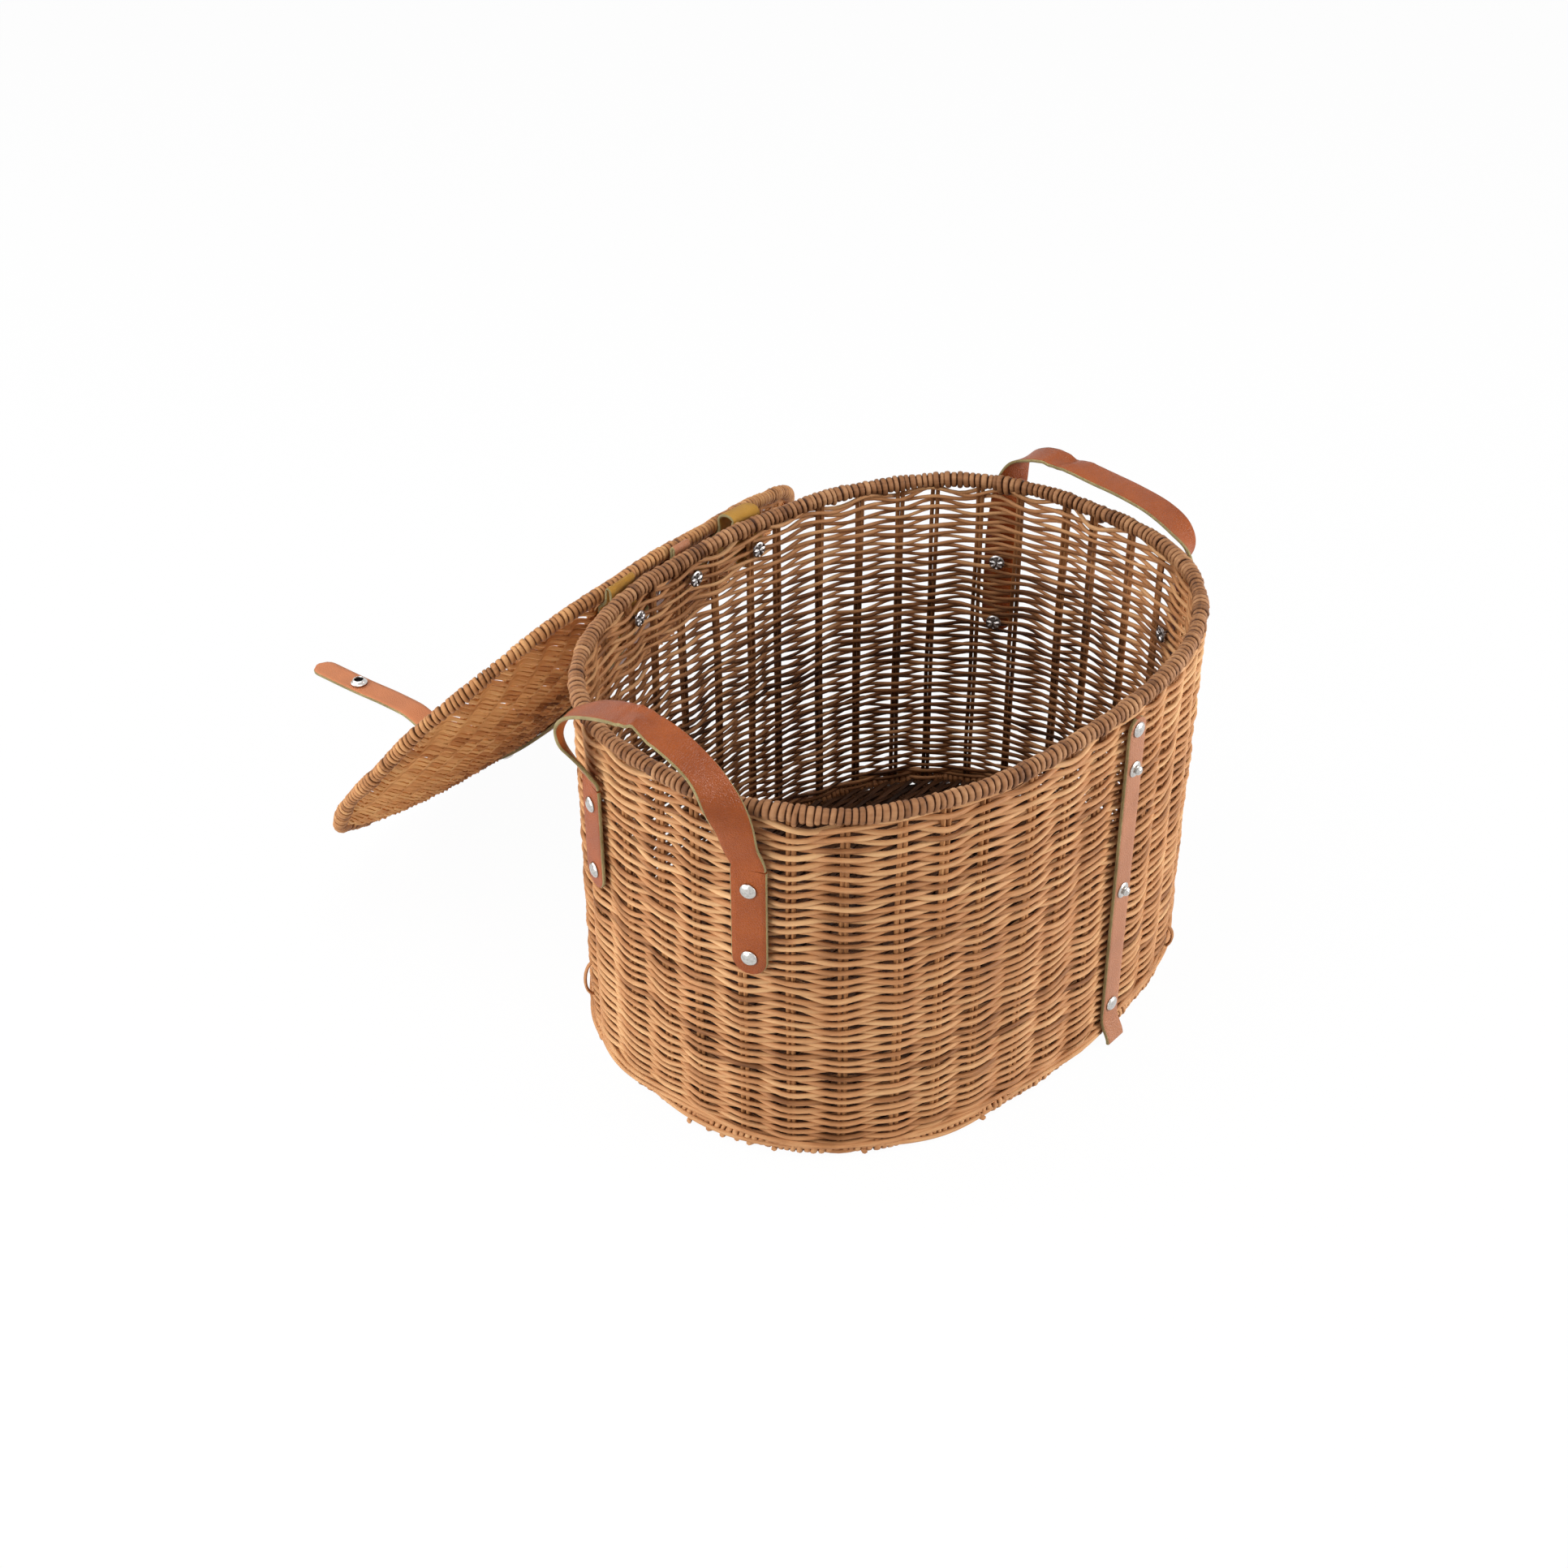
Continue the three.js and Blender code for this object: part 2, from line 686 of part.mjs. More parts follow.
// Lid strap: from the middle hinge across the dome to the front edge
const strapBack = sidePlace(hingeMiddle, 1).at(-hingeLidLeg - seatGap - hingeThickness, 0);
const strapFront = sidePlace(tongueRootX, -1);
const frontReach = lidRingRadius / Math.cos(Math.PI / ringSides) + strapSeat;
const strapEnd = strapFront.at(-1.8 * lidRingRadius, 0);
const lidRun = [];
const strapLift = (share) => strapSeat + ringEase * share;
const lidRunSteps = 24;
for (let i = 0; i <= lidRunSteps; i++) {
  const share = Math.sin((Math.PI / 2) * (i / lidRunSteps));
  const flat = strapBack.clone().lerp(strapEnd, share);
  lidRun.push(onDome(flat.x, flat.y, strapLift(share)).point);
}
for (const degrees of [92, 66, 40, 20, 8]) {
  const turn = THREE.MathUtils.degToRad(degrees);
  const reach = frontReach + ringEase * Math.sin(turn);
  lidRun.push(strapFront.at(reach * Math.cos(turn), lidRingHeight + reach * Math.sin(turn)));
}
const strapAcross = new THREE.Vector3().subVectors(strapEnd, strapBack).cross(up).normalize();
const lidStrip = strip(
  lidRun.map((centre) => ({ centre, across: strapAcross, width: closureWidth })),
  strapThickness,
);
const strapRivets = [0.05, 0.92].map((share) => {
  const flat = strapBack.clone().lerp(strapEnd, share);
  return onDome(flat.x, flat.y, strapLift(share) + strapThickness / 2 + seatGap);
});
add(lid, "lid_strap", drilled(lidStrip, strapRivets, strapDrill), leather);
const lidStack = strapThickness + lidMatThickness + ringEase + 2 * seatGap;
addFitting(lid, "lid_strap_rivet_back", rivetShape(lidStack), strapRivets[0]);
addFitting(lid, "lid_strap_rivet_front", rivetShape(lidStack), strapRivets[1]);
lidFittings.push(...strapRivets);
add(lid, "lid_mat", drilled(lidMat(), lidFittings, wallDrill), rattan);
add(lid, "lid_ring", ovalTube(lidRingRadius, lidRingHeight), caneBinding);

// Tongue: lies on the floor from the lid's front edge, and folds down over the lower stud when the lid is shut
const rootShut = strapFront.at(frontReach, lidRingHeight);
const root = rootShut.clone().applyMatrix4(openLid);
const snapStack = studBaseThickness + snapGap + socketHeight + 2 * seatGap;
const shutTarget = studs[1].point.clone().addScaledVector(front.out, snapStack + strapThickness / 2);
const socketReach = rootShut.distanceTo(shutTarget);
const tongueLength = socketReach + tongueTail;
const alongShut = new THREE.Vector3().subVectors(shutTarget, rootShut).normalize();
const splay = THREE.MathUtils.degToRad(tongueSplay);
const socketLift = strapThickness / 2 + socketCap + 2 * seatGap - root.z;
const alongRest = new THREE.Vector3(-Math.sin(splay), Math.cos(splay), socketLift / socketReach).normalize();

function frameOf(along, inner) {
  const normal = inner.clone().addScaledVector(along, -inner.dot(along)).normalize();
  const across = new THREE.Vector3().crossVectors(normal, along);
  return new THREE.Matrix4().makeBasis(along, across, normal);
}

const restFrame = frameOf(alongRest, up);
const openTurn = new THREE.Matrix4().extractRotation(openLid);
const shutFrame = openTurn.clone().multiply(frameOf(alongShut, front.out.clone().negate()));
const folding = new THREE.Quaternion().setFromRotationMatrix(
  shutFrame.clone().multiply(restFrame.clone().transpose()),
);
const tongueAcross = new THREE.Vector3().setFromMatrixColumn(restFrame, 1);
const tongueInner = new THREE.Vector3().setFromMatrixColumn(restFrame, 2);
const tongueEnds = roundEnd(closureWidth);
const tongueLevels = [
  { reach: 3 * seatGap, width: closureWidth },
  ...tongueEnds.toReversed().map(({ distance, share }) => ({
    reach: tongueLength - distance,
    width: share * closureWidth,
  })),
];
const tongueStrip = strip(
  tongueLevels.map(({ reach, width }) => ({
    centre: root.clone().addScaledVector(alongRest, reach),
    across: tongueAcross,
    width,
  })),
  strapThickness,
);
const socketPlace = {
  point: root
    .clone()
    .addScaledVector(alongRest, socketReach)
    .addScaledVector(tongueInner, -strapThickness / 2 - seatGap),
  direction: tongueInner.clone().negate(),
};
add(part, "tongue", drilled(tongueStrip, [socketPlace], strapDrill), leather);
addFitting(part, "snap_socket", socketShape(), socketPlace);

// Woven wall between the base ring and the rim: each band swings in and out of the stakes, turn about with the next
function wovenWall() {
  const line = new PlanOval(0, 0).getSpacedPoints(stakeCount).slice(0, stakeCount);
  const rise = (wallTop - wallFoot) / weaveRows;
  const upward = Array.from({ length: weaveRows + 1 }, (_, row) => row);
  const outline = [
    ...upward.map((row) => ({ row, side: 1 })),
    ...upward.toReversed().map((row) => ({ row, side: -1 })),
  ];
  const swingsOut = (stake, row) => (stake + row) % 2 === 1;
  const sections = line.map((p, stake) => {
    const place = rimPlace(p.x, p.y);
    return outline.map(({ row, side }) => {
      const swing = swingsOut(stake, row) ? weaveSwing : -weaveSwing;
      return place.at(swing + (side * weaverThickness) / 2, wallFoot + row * rise);
    });
  });
  const betweenInner = (stake, k) => !swingsOut(stake, outline[k].row);
  return drilled(loft(sections, true, betweenInner), wallFittings, wallDrill);
}

// Base mat inside the base ring
function baseMat() {
  const edge = -baseRingRadius / Math.cos(Math.PI / ringSides) - seatGap;
  const outline = new PlanOval(edge, 0).getSpacedPoints(ringSteps).slice(0, ringSteps);
  return loft([outline, outline.map((p) => p.clone().setZ(baseMatThickness))], false);
}

add(basket, "wall", wovenWall(), rattan);
add(basket, "rim", ovalTube(rimRadius, rimHeight), caneBinding);
add(basket, "base_ring", ovalTube(baseRingRadius, baseRingRadius), caneBinding);
add(basket, "base_mat", baseMat(), rattan);

// Joint places at rest
const foldOut = wallFace + seatGap + strapThickness + seatGap;

// Swing axis of a handle: level with its folds and just outside both of them
function swingOf({ side, middle, halfSpan, foldDrop }) {
  const reaches = [middle - halfSpan, middle + halfSpan].map((y) => {
    const place = endPlace(y, side);
    return Math.abs(place.at(foldOut, 0).x) + (handleWidth / 2) * Math.abs(place.sideways.x);
  });
  return { reach: Math.max(...reaches), height: rimHeight - foldDrop };
}

const foldAngle = 2 * Math.acos(THREE.MathUtils.clamp(folding.w, -1, 1));
part.userData.joints = {
  lid: { point: hingePoint, axis: hingeAxis, shut: -openAngle },
  tongue: {
    point: root,
    axis: new THREE.Vector3(folding.x, folding.y, folding.z).normalize(),
    shut: THREE.MathUtils.radToDeg(foldAngle),
  },
  leftHandle: swingOf(leftHandle),
  rightHandle: swingOf(rightHandle),
};

export default part;
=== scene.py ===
"""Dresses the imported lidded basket: woven rattan, bound canes, leather straps and nickel fittings.

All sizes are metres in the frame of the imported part: X along the basket, -Y the front, +Y the hinge side and
Z up.
"""

import json
import logging
import math
from dataclasses import dataclass, field
from enum import Enum

import bpy
import numpy as np
from mathutils import Matrix, Vector


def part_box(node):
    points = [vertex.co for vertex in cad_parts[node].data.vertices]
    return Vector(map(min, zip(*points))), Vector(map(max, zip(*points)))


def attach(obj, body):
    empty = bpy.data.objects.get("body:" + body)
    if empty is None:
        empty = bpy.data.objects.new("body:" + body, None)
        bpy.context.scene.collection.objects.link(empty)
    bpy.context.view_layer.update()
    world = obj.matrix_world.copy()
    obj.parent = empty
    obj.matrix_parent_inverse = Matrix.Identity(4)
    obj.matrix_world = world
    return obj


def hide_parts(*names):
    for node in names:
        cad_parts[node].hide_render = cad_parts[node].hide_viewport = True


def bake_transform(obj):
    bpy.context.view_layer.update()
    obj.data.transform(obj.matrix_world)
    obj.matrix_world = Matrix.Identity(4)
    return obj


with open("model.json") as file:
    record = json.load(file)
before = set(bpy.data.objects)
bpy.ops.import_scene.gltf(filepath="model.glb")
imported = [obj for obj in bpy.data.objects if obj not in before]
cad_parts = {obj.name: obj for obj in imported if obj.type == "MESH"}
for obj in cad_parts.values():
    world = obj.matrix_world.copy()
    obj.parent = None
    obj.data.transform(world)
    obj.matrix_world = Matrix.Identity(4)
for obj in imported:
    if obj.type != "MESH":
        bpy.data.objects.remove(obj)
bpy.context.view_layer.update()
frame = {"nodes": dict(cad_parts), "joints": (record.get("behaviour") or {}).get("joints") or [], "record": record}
LOG = logging.getLogger("basket")
UP = np.array([0.0, 0.0, 1.0])
GRAIN_MAP = "grain"
TONE = "tone"
VECTOR = "NodeSocketVector"
VALUE = "NodeSocketFloat"
SPLINE_STEPS = 24
OVAL_POINTS = 4001

Array = np.ndarray
Triple = tuple[float, float, float]
Material = bpy.types.Material
Piece = bpy.types.Object
Node = bpy.types.Node
Socket = bpy.types.NodeSocket
Tree = bpy.types.NodeTree
Feed = Socket | float | tuple[float, ...]
Feeds = dict[str | int, Feed]


class Side(Enum):
    """Which end, long side or face a place is on."""

    NEGATIVE = -1
    POSITIVE = 1


class Slot(Enum):
    """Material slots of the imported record."""

    RATTAN = "rattan"
    BINDING = "cane_binding"
    LEATHER = "leather"
    SUEDE = "suede"
    NICKEL = "nickel"


def unit(vectors: Array) -> Array:
    """Gives vectors of length one along the last axis."""
    return vectors / np.linalg.norm(vectors, axis=-1, keepdims=True)


def squared(directions: Array, along: Array) -> Array:
    """Gives the unit directions square to a run that are nearest to those given."""
    return unit(directions - np.sum(directions * along, axis=1, keepdims=True) * along)


def measured(line: Array) -> Array:
    """Gives the length along a line of points up to each of them."""
    return np.concatenate([[0.0], np.cumsum(np.linalg.norm(np.diff(line, axis=0), axis=1))])


def lifted(ground: Array, out: Array, offset: Array, height: Array) -> Array:
    """Gives the points at outward offsets and heights over points of the ground."""
    return ground + offset[:, None] * out + height[:, None] * UP


def angles(count: int) -> Array:
    """Gives equal steps of a whole turn."""
    return 2 * math.pi * np.arange(count) / count


def smoothstep(value: Array | float, low: float, high: float) -> Array:
    """Rises smoothly from 0 at low to 1 at high."""
    share = np.clip((value - low) / (high - low), 0.0, 1.0)
    return share * share * (3.0 - 2.0 * share)


def between(at: Array, low: float, high: float, first: Array, last: Array) -> Array:
    """Runs straight from first at low to last at high."""
    return (high - at) / (high - low) * first + (at - low) / (high - low) * last


def spline(knots: Array, count: int) -> Array:
    """Runs a smooth line through knots and spaces points evenly along it.

    Args:
        knots: Points that the line passes through, one per row.
        count: How many points to return.

    Returns:
        The points, with equal steps between them.
    """
    ends = np.vstack([2 * knots[0] - knots[1], knots, 2 * knots[-1] - knots[-2]])
    run = []
    for a, b, c, d in zip(ends[:-3], ends[1:-2], ends[2:-1], ends[3:]):
        ta = 0.0
        tb = ta + np.linalg.norm(b - a) ** 0.5
        tc = tb + np.linalg.norm(c - b) ** 0.5
        td = tc + np.linalg.norm(d - c) ** 0.5
        t = np.linspace(tb, tc, SPLINE_STEPS, endpoint=False)[:, None]
        bc = between(t, tb, tc, b, c)
        abc = between(t, ta, tc, between(t, ta, tb, a, b), bc)
        bcd = between(t, tb, td, bc, between(t, tc, td, c, d))
        run.append(between(t, tb, tc, abc, bcd))
    line = np.vstack([*run, knots[-1]])
    length = measured(line)
    wanted = np.linspace(0.0, length[-1], count)
    return np.column_stack([np.interp(wanted, length, line[:, k]) for k in range(3)])


@dataclass(frozen=True)
class Unevenness:
    """Smooth seeded waves that make hand work uneven, periodic once round the basket.

    Attributes:
        seed: Seed of the waves.
        size: Height of the waves.
        round_waves: Most waves once round.
        height_waves: Waves per metre of height, at most.
        waves: How many waves are added up.
    """

    seed: int
    size: float
    round_waves: int
    height_waves: float = 16.0
    waves: int = 9

    def at(self, share: Array, height: Array | float = 0.0) -> Array:
        """Gives the sum of the waves.

        Args:
            share: Shares of a turn.
            height: Heights over the floor.

        Returns:
            The waves' height at each place.
        """
        random = np.random.default_rng(self.seed)
        total = np.zeros(np.broadcast(share, height).shape)
        for _ in range(self.waves):
            turns = random.integers(2, self.round_waves)
            rise = random.uniform(-1, 1) * self.height_waves
            phase = random.uniform(0, 2 * math.pi)
            total = total + np.cos(2 * math.pi * (turns * share + rise * height) + phase)
        return self.size * total / math.sqrt(self.waves)


@dataclass(frozen=True)
class Place:
    """A place on the rim's line with its outward and sideways directions."""

    base: Array
    out: Array
    sideways: Array

    def at(self, offset: float, height: float) -> Array:
        """Gives the point at an outward offset and a height."""
        return self.base + offset * self.out + height * UP


@dataclass(frozen=True)
class PlanOval:
    """The basket's plan on the rim's centreline, an oval fuller than an ellipse."""

    half_length: float
    half_width: float
    power: float = 2.42

    def outward(self, plan: Array) -> Array:
        """Gives outward directions.

        Args:
            plan: Plan points (x, y).

        Returns:
            Unit directions (x, y, 0).
        """
        half = np.array([self.half_length, self.half_width])
        slope = np.sign(plan) * np.abs(plan / half) ** (self.power - 1) / half
        return unit(np.concatenate([slope, np.zeros_like(slope[..., :1])], axis=-1))

    def _dense(self) -> tuple[Array, Array]:
        """Walks once round in small steps.

        Returns:
            Plan points and the length up to each.
        """
        angle = np.linspace(0.0, 2 * math.pi, OVAL_POINTS)
        spread = np.abs(np.cos(angle) / self.half_length) ** self.power
        spread = spread + np.abs(np.sin(angle) / self.half_width) ** self.power
        reach = spread ** (-1 / self.power)
        plan = np.column_stack([reach * np.cos(angle), reach * np.sin(angle)])
        return plan, measured(plan)

    def length(self) -> float:
        """Gives the length once round."""
        return float(self._dense()[1][-1])

    def walk(self, share: Array) -> tuple[Array, Array]:
        """Gives points and outward directions at shares of a turn.

        Args:
            share: Shares of the way round, any shape.

        Returns:
            Points with z = 0 and unit outward directions.
        """
        plan, length = self._dense()
        along = np.mod(share, 1.0) * length[-1]
        x = np.interp(along, length, plan[:, 0])
        y = np.interp(along, length, plan[:, 1])
        return np.stack([x, y, np.zeros_like(x)], axis=-1), self.outward(np.stack([x, y], axis=-1))

    def reach_x(self, y: float, inset: float = 0.0) -> float:
        """Gives the half length at one y, for an oval that is set in by a distance."""
        share = max(1 - abs(y / (self.half_width - inset)) ** self.power, 0.0)
        return (self.half_length - inset) * share ** (1 / self.power)

    def reach_y(self, x: float, inset: float = 0.0) -> float:
        """Gives the half width at one x, for an oval that is set in by a distance."""
        share = max(1 - abs(x / (self.half_length - inset)) ** self.power, 0.0)
        return (self.half_width - inset) * share ** (1 / self.power)

    def place(self, x: float, y: float) -> Place:
        """Gives the place at a plan point of the rim's line."""
        out = self.outward(np.array([x, y]))
        return Place(np.array([x, y, 0.0]), out, np.cross(UP, out))

    def on_side(self, x: float, side: Side) -> Place:
        """Gives the place at one x on a long side."""
        return self.place(x, side.value * self.reach_y(x))

    def on_end(self, y: float, side: Side) -> Place:
        """Gives the place at one y on an end."""
        return self.place(side.value * self.reach_x(y), y)


def linked(name: str, data: bpy.types.ID) -> Piece:
    """Makes an object and puts it in the scene.

    Args:
        name: Name of the object.
        data: Its mesh, lamp or camera.

    Returns:
        The new object.
    """
    piece = bpy.data.objects.new(name, data)
    bpy.context.scene.collection.objects.link(piece)
    return piece


def alone(piece: Piece) -> None:
    """Makes a piece the only selected and the active object.

    Args:
        piece: The piece to select.
    """
    bpy.ops.object.select_all(action="DESELECT")
    piece.select_set(True)
    bpy.context.view_layer.objects.active = piece


@dataclass
class Draft:
    """Gathers points, faces, tones and surface coordinates for one mesh."""

    points: list[Array] = field(default_factory=list)
    faces: list[list[int]] = field(default_factory=list)
    corners: list[Array] = field(default_factory=list)
    tones: list[Array] = field(default_factory=list)
    kinds: list[Array] = field(default_factory=list)
    count: int = 0

    def take(self, points: Array, tone: Array) -> int:
        """Adds points.

        Args:
            points: Points of any grid.
            tone: Their tones, of a shape that fits them.

        Returns:
            The first point's index.
        """
        start = self.count
        self.points.append(points.reshape(-1, 3))
        self.tones.append(np.broadcast_to(tone, points.shape[:-1]).reshape(-1))
        self.count += len(self.points[-1])
        return start

    def put(self, faces: Array, corners: Array, kind: Array | int = 0) -> None:
        """Adds faces of equal corner count.

        Args:
            faces: Point indices, one row per face.
            corners: Surface coordinates of the faces' corners.
            kind: Material number, one or one per face.
        """
        self.faces.extend(faces.tolist())
        self.corners.append(corners.reshape(-1, 2))
        self.kinds.append(np.broadcast_to(kind, len(faces)))

    def grid(self, points: Array, tone: Array, closed: bool) -> None:
        """Adds a tube given as a grid of points, its second direction closed round.

        Args:
            points: Points by station along the tube and by step round it.
            tone: Tone of the points, of a shape that fits them.
            closed: Whether the tube also closes on itself along its length.
        """
        stations, sides = points.shape[:2]
        start = self.take(points, tone)
        i = np.arange(stations if closed else stations - 1)[:, None]
        k = np.arange(sides)[None, :]
        j = (i + 1) % stations
        m = (k + 1) % sides
        quads = np.stack([i * sides + k, i * sides + m, j * sides + m, j * sides + k], axis=-1)
        centre = points.mean(axis=1)
        steps = np.linalg.norm(np.roll(centre, -1, axis=0) - centre, axis=1)
        along = np.concatenate([[0.0], np.cumsum(steps)])
        u = np.stack([along[i], along[i], along[i + 1], along[i + 1]], axis=-1)
        v = np.stack([k, k + 1, k + 1, k], axis=-1) / sides
        corners = [np.broadcast_to(part, quads.shape) for part in (u, v)]
        self.put(start + quads.reshape(-1, 4), np.stack(corners, axis=-1))
        if not closed:
            last = start + (stations - 1) * sides
            ends = np.array([np.arange(start + sides - 1, start - 1, -1), np.arange(last, last + sides)])
            self.put(ends, np.zeros((2, sides, 2)))

    def tube(
        self,
        path: Array,
        first: Array,
        radius: Array | float,
        sides: int,
        closed: bool,
        tone: Array | float,
        second: Array | None = None,
    ) -> None:
        """Adds a round cane along a path.

        Args:
            path: Centre points.
            first: Directions of the cane's first side, squared to the path unless second is given.
            radius: Radius, one or one per point.
            sides: Points round the cane.
            closed: Whether the cane closes on itself.
            tone: Tone, one, one per point, or one per point and step round it.
            second: Directions a quarter turn on from the first, where they are known.
        """
        if second is None:
            steps = np.gradient(path, axis=0)
            if closed:
                steps = np.roll(path, -1, axis=0) - np.roll(path, 1, axis=0)
            along = unit(steps)
            first = squared(first, along)
            second = np.cross(along, first)
        turn = angles(sides)[None, :, None]
        round_points = np.cos(turn) * first[:, None] + np.sin(turn) * second[:, None]
        reach = np.broadcast_to(radius, len(path))[:, None, None]
        shade = np.asarray(tone)
        if shade.ndim < 2:
            shade = np.broadcast_to(shade, len(path))[:, None]
        self.grid(path[:, None] + reach * round_points, shade, closed)

    def build(self, name: str, materials: list[Material], smooth: float = 60.0) -> Piece:
        """Makes the mesh object.

        Args:
            name: Name of the piece.
            materials: Its materials, in the order of the faces' numbers.
            smooth: Angle in degrees over which an edge stays sharp.

        Returns:
            The new object, at the origin.
        """
        mesh = bpy.data.meshes.new(name)
        mesh.from_pydata(np.vstack(self.points).tolist(), [], self.faces)
        layer = mesh.uv_layers.new(name=GRAIN_MAP)
        layer.uv.foreach_set("vector", np.vstack(self.corners).astype(np.float32).ravel())
        tone = mesh.attributes.new(TONE, "FLOAT", "POINT")
        tone.data.foreach_set("value", np.concatenate(self.tones).astype(np.float32))
        mesh.polygons.foreach_set("material_index", np.concatenate(self.kinds).astype(np.int32))
        for material in materials:
            mesh.materials.append(material)
        piece = linked(name, mesh)
        alone(piece)
        bpy.ops.object.shade_smooth_by_angle(angle=math.radians(smooth))
        return piece


def settle(piece: Piece, body: str, slot: Slot, *nodes: str) -> None:
    """Makes a piece ride on a body and stand for CAD nodes.

    Args:
        piece: The finished piece.
        body: Body that it moves with.
        slot: Slot of the record; not used.
        nodes: CAD nodes that it stands for.
    """
    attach(piece, body)
    if nodes:
        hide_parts(*nodes)
    LOG.info("%s: %d faces on %s", piece.name, len(piece.data.polygons), body)


@dataclass
class NodeBench:
    """Places nodes in one tree, each a step to the right of the last."""

    tree: Tree
    x: float = -1400.0
    step: float = 180.0

    def feed(self, node: Node, values: Feeds) -> None:
        """Sets inputs of a node.

        Args:
            node: The node.
            values: A socket to link or a plain value for each input, by its name or number.
        """
        for name, value in values.items():
            if isinstance(value, Socket):
                self.tree.links.new(value, node.inputs[name])
            else:
                node.inputs[name].default_value = value

    def add(self, kind: str, values: Feeds | None = None, **settings: object) -> Node:
        """Adds a node.

        Args:
            kind: Kind of the node.
            values: What its inputs take.
            settings: Its properties by name.

        Returns:
            The new node.
        """
        node = self.tree.nodes.new(kind)
        node.location = (self.x, 0)
        self.x += self.step
        for name, value in settings.items():
            setattr(node, name, value)
        self.feed(node, values or {})
        return node

    def math(self, operation: str, first: Feed, second: Feed) -> Socket:
        """Adds a Math node and gives its result."""
        return self.add("ShaderNodeMath", {0: first, 1: second}, operation=operation).outputs[0]

    def scaled(self, value: Socket, factor: float, shift: Feed) -> Socket:
        """Multiplies a value by a factor and adds a shift."""
        return self.math("ADD", self.math("MULTIPLY", value, factor), shift)

    def centred(self, value: Socket, factor: float) -> Socket:
        """Takes a half from a value and multiplies the rest by a factor."""
        return self.math("MULTIPLY", self.math("SUBTRACT", value, 0.5), factor)

    def noise(self, vector: Socket, scale: float, detail: float = 4.0) -> Socket:
        """Adds a Noise texture and gives its value."""
        values = {"Vector": vector, "Scale": scale, "Detail": detail}
        return self.add("ShaderNodeTexNoise", values).outputs["Fac"]

    def stretched(self, vector: Socket, scale: Triple) -> Socket:
        """Scales a vector by a Mapping node."""
        return self.add("ShaderNodeMapping", {"Vector": vector, "Scale": scale}).outputs["Vector"]

    def ramp(self, value: Socket, stops: list[tuple[float, Triple]]) -> Socket:
        """Adds a colour ramp.

        Args:
            value: Where on the ramp.
            stops: Positions and colours.

        Returns:
            The colour.
        """
        node = self.add("ShaderNodeValToRGB", {"Fac": value})
        elements = node.color_ramp.elements
        while len(elements) < len(stops):
            elements.new(0.5)
        for element, (position, colour) in zip(elements, stops):
            element.position = position
            element.color = (*colour, 1.0)
        return node.outputs["Color"]

    def bump(self, height: Socket, depth: float) -> Socket:
        """Turns a height from 0 to 1 into a normal bumped to a depth."""
        values = {"Strength": 1.0, "Distance": depth, "Height": height}
        return self.add("ShaderNodeBump", values).outputs["Normal"]


def group_tree(name: str, inputs: dict[str, str], outputs: dict[str, str]) -> Tree:
    """Starts a shader node group with named sockets.

    Args:
        name: Name of the group.
        inputs: Socket kinds of the inputs by name.
        outputs: Socket kinds of the outputs by name.

    Returns:
        The new tree.
    """
    tree = bpy.data.node_groups.new(name, "ShaderNodeTree")
    for in_out, sockets in (("INPUT", inputs), ("OUTPUT", outputs)):
        for socket, kind in sockets.items():
            tree.interface.new_socket(name=socket, in_out=in_out, socket_type=kind)
    return tree


def cane_grain_group() -> Tree:
    """Builds the group that mottles a cane along its length and streaks it with fibres.

    Returns:
        The group's tree.
    """
    tree = group_tree("cane_grain", {"Grain": VECTOR, "Tone": VALUE}, {"Shade": VALUE, "Fibre": VALUE})
    bench = NodeBench(tree)
    source = bench.add("NodeGroupInput").outputs
    mottle = bench.noise(bench.stretched(source["Grain"], (42.0, 0.6, 1.0)), 1.0)
    fibre = bench.noise(bench.stretched(source["Grain"], (70.0, 11.0, 1.0)), 1.0, 5.0)
    broad = bench.math("ADD", source["Tone"], bench.centred(mottle, 0.95))
    mottled = bench.math("ADD", broad, bench.centred(fibre, 0.6))
    bench.add("NodeGroupOutput", {"Shade": bench.scaled(mottled, 0.75, 0.25), "Fibre": fibre})
    return tree


def leather_grain_group() -> Tree:
    """Builds the group for leather's pebbled grain and its soft patches of colour.

    Returns:
        The group's tree.
    """
    inputs = {"Place": VECTOR, "Pebbles per metre": VALUE}
    tree = group_tree("leather_grain", inputs, {"Pebble": VALUE, "Patch": VALUE})
    bench = NodeBench(tree)
    source = bench.add("NodeGroupInput").outputs
    cells = {"Vector": source["Place"], "Scale": source["Pebbles per metre"]}
    edges = bench.add("ShaderNodeTexVoronoi", cells, feature="DISTANCE_TO_EDGE").outputs["Distance"]
    crease = bench.add("ShaderNodeMapRange", {"Value": edges, "From Max": 0.22}).outputs["Result"]
    pebble = bench.scaled(crease, 0.7, bench.noise(source["Place"], 900.0))
    bench.add("NodeGroupOutput", {"Pebble": pebble, "Patch": bench.noise(source["Place"], 55.0)})
    return tree


def new_material(name: str) -> tuple[Material, NodeBench, Node]:
    """Starts a material.

    Args:
        name: Name of the material.

    Returns:
        The material, a bench on its tree and its Principled BSDF.
    """
    material = bpy.data.materials.new(name)
    material.use_nodes = True
    return material, NodeBench(material.node_tree), material.node_tree.nodes["Principled BSDF"]


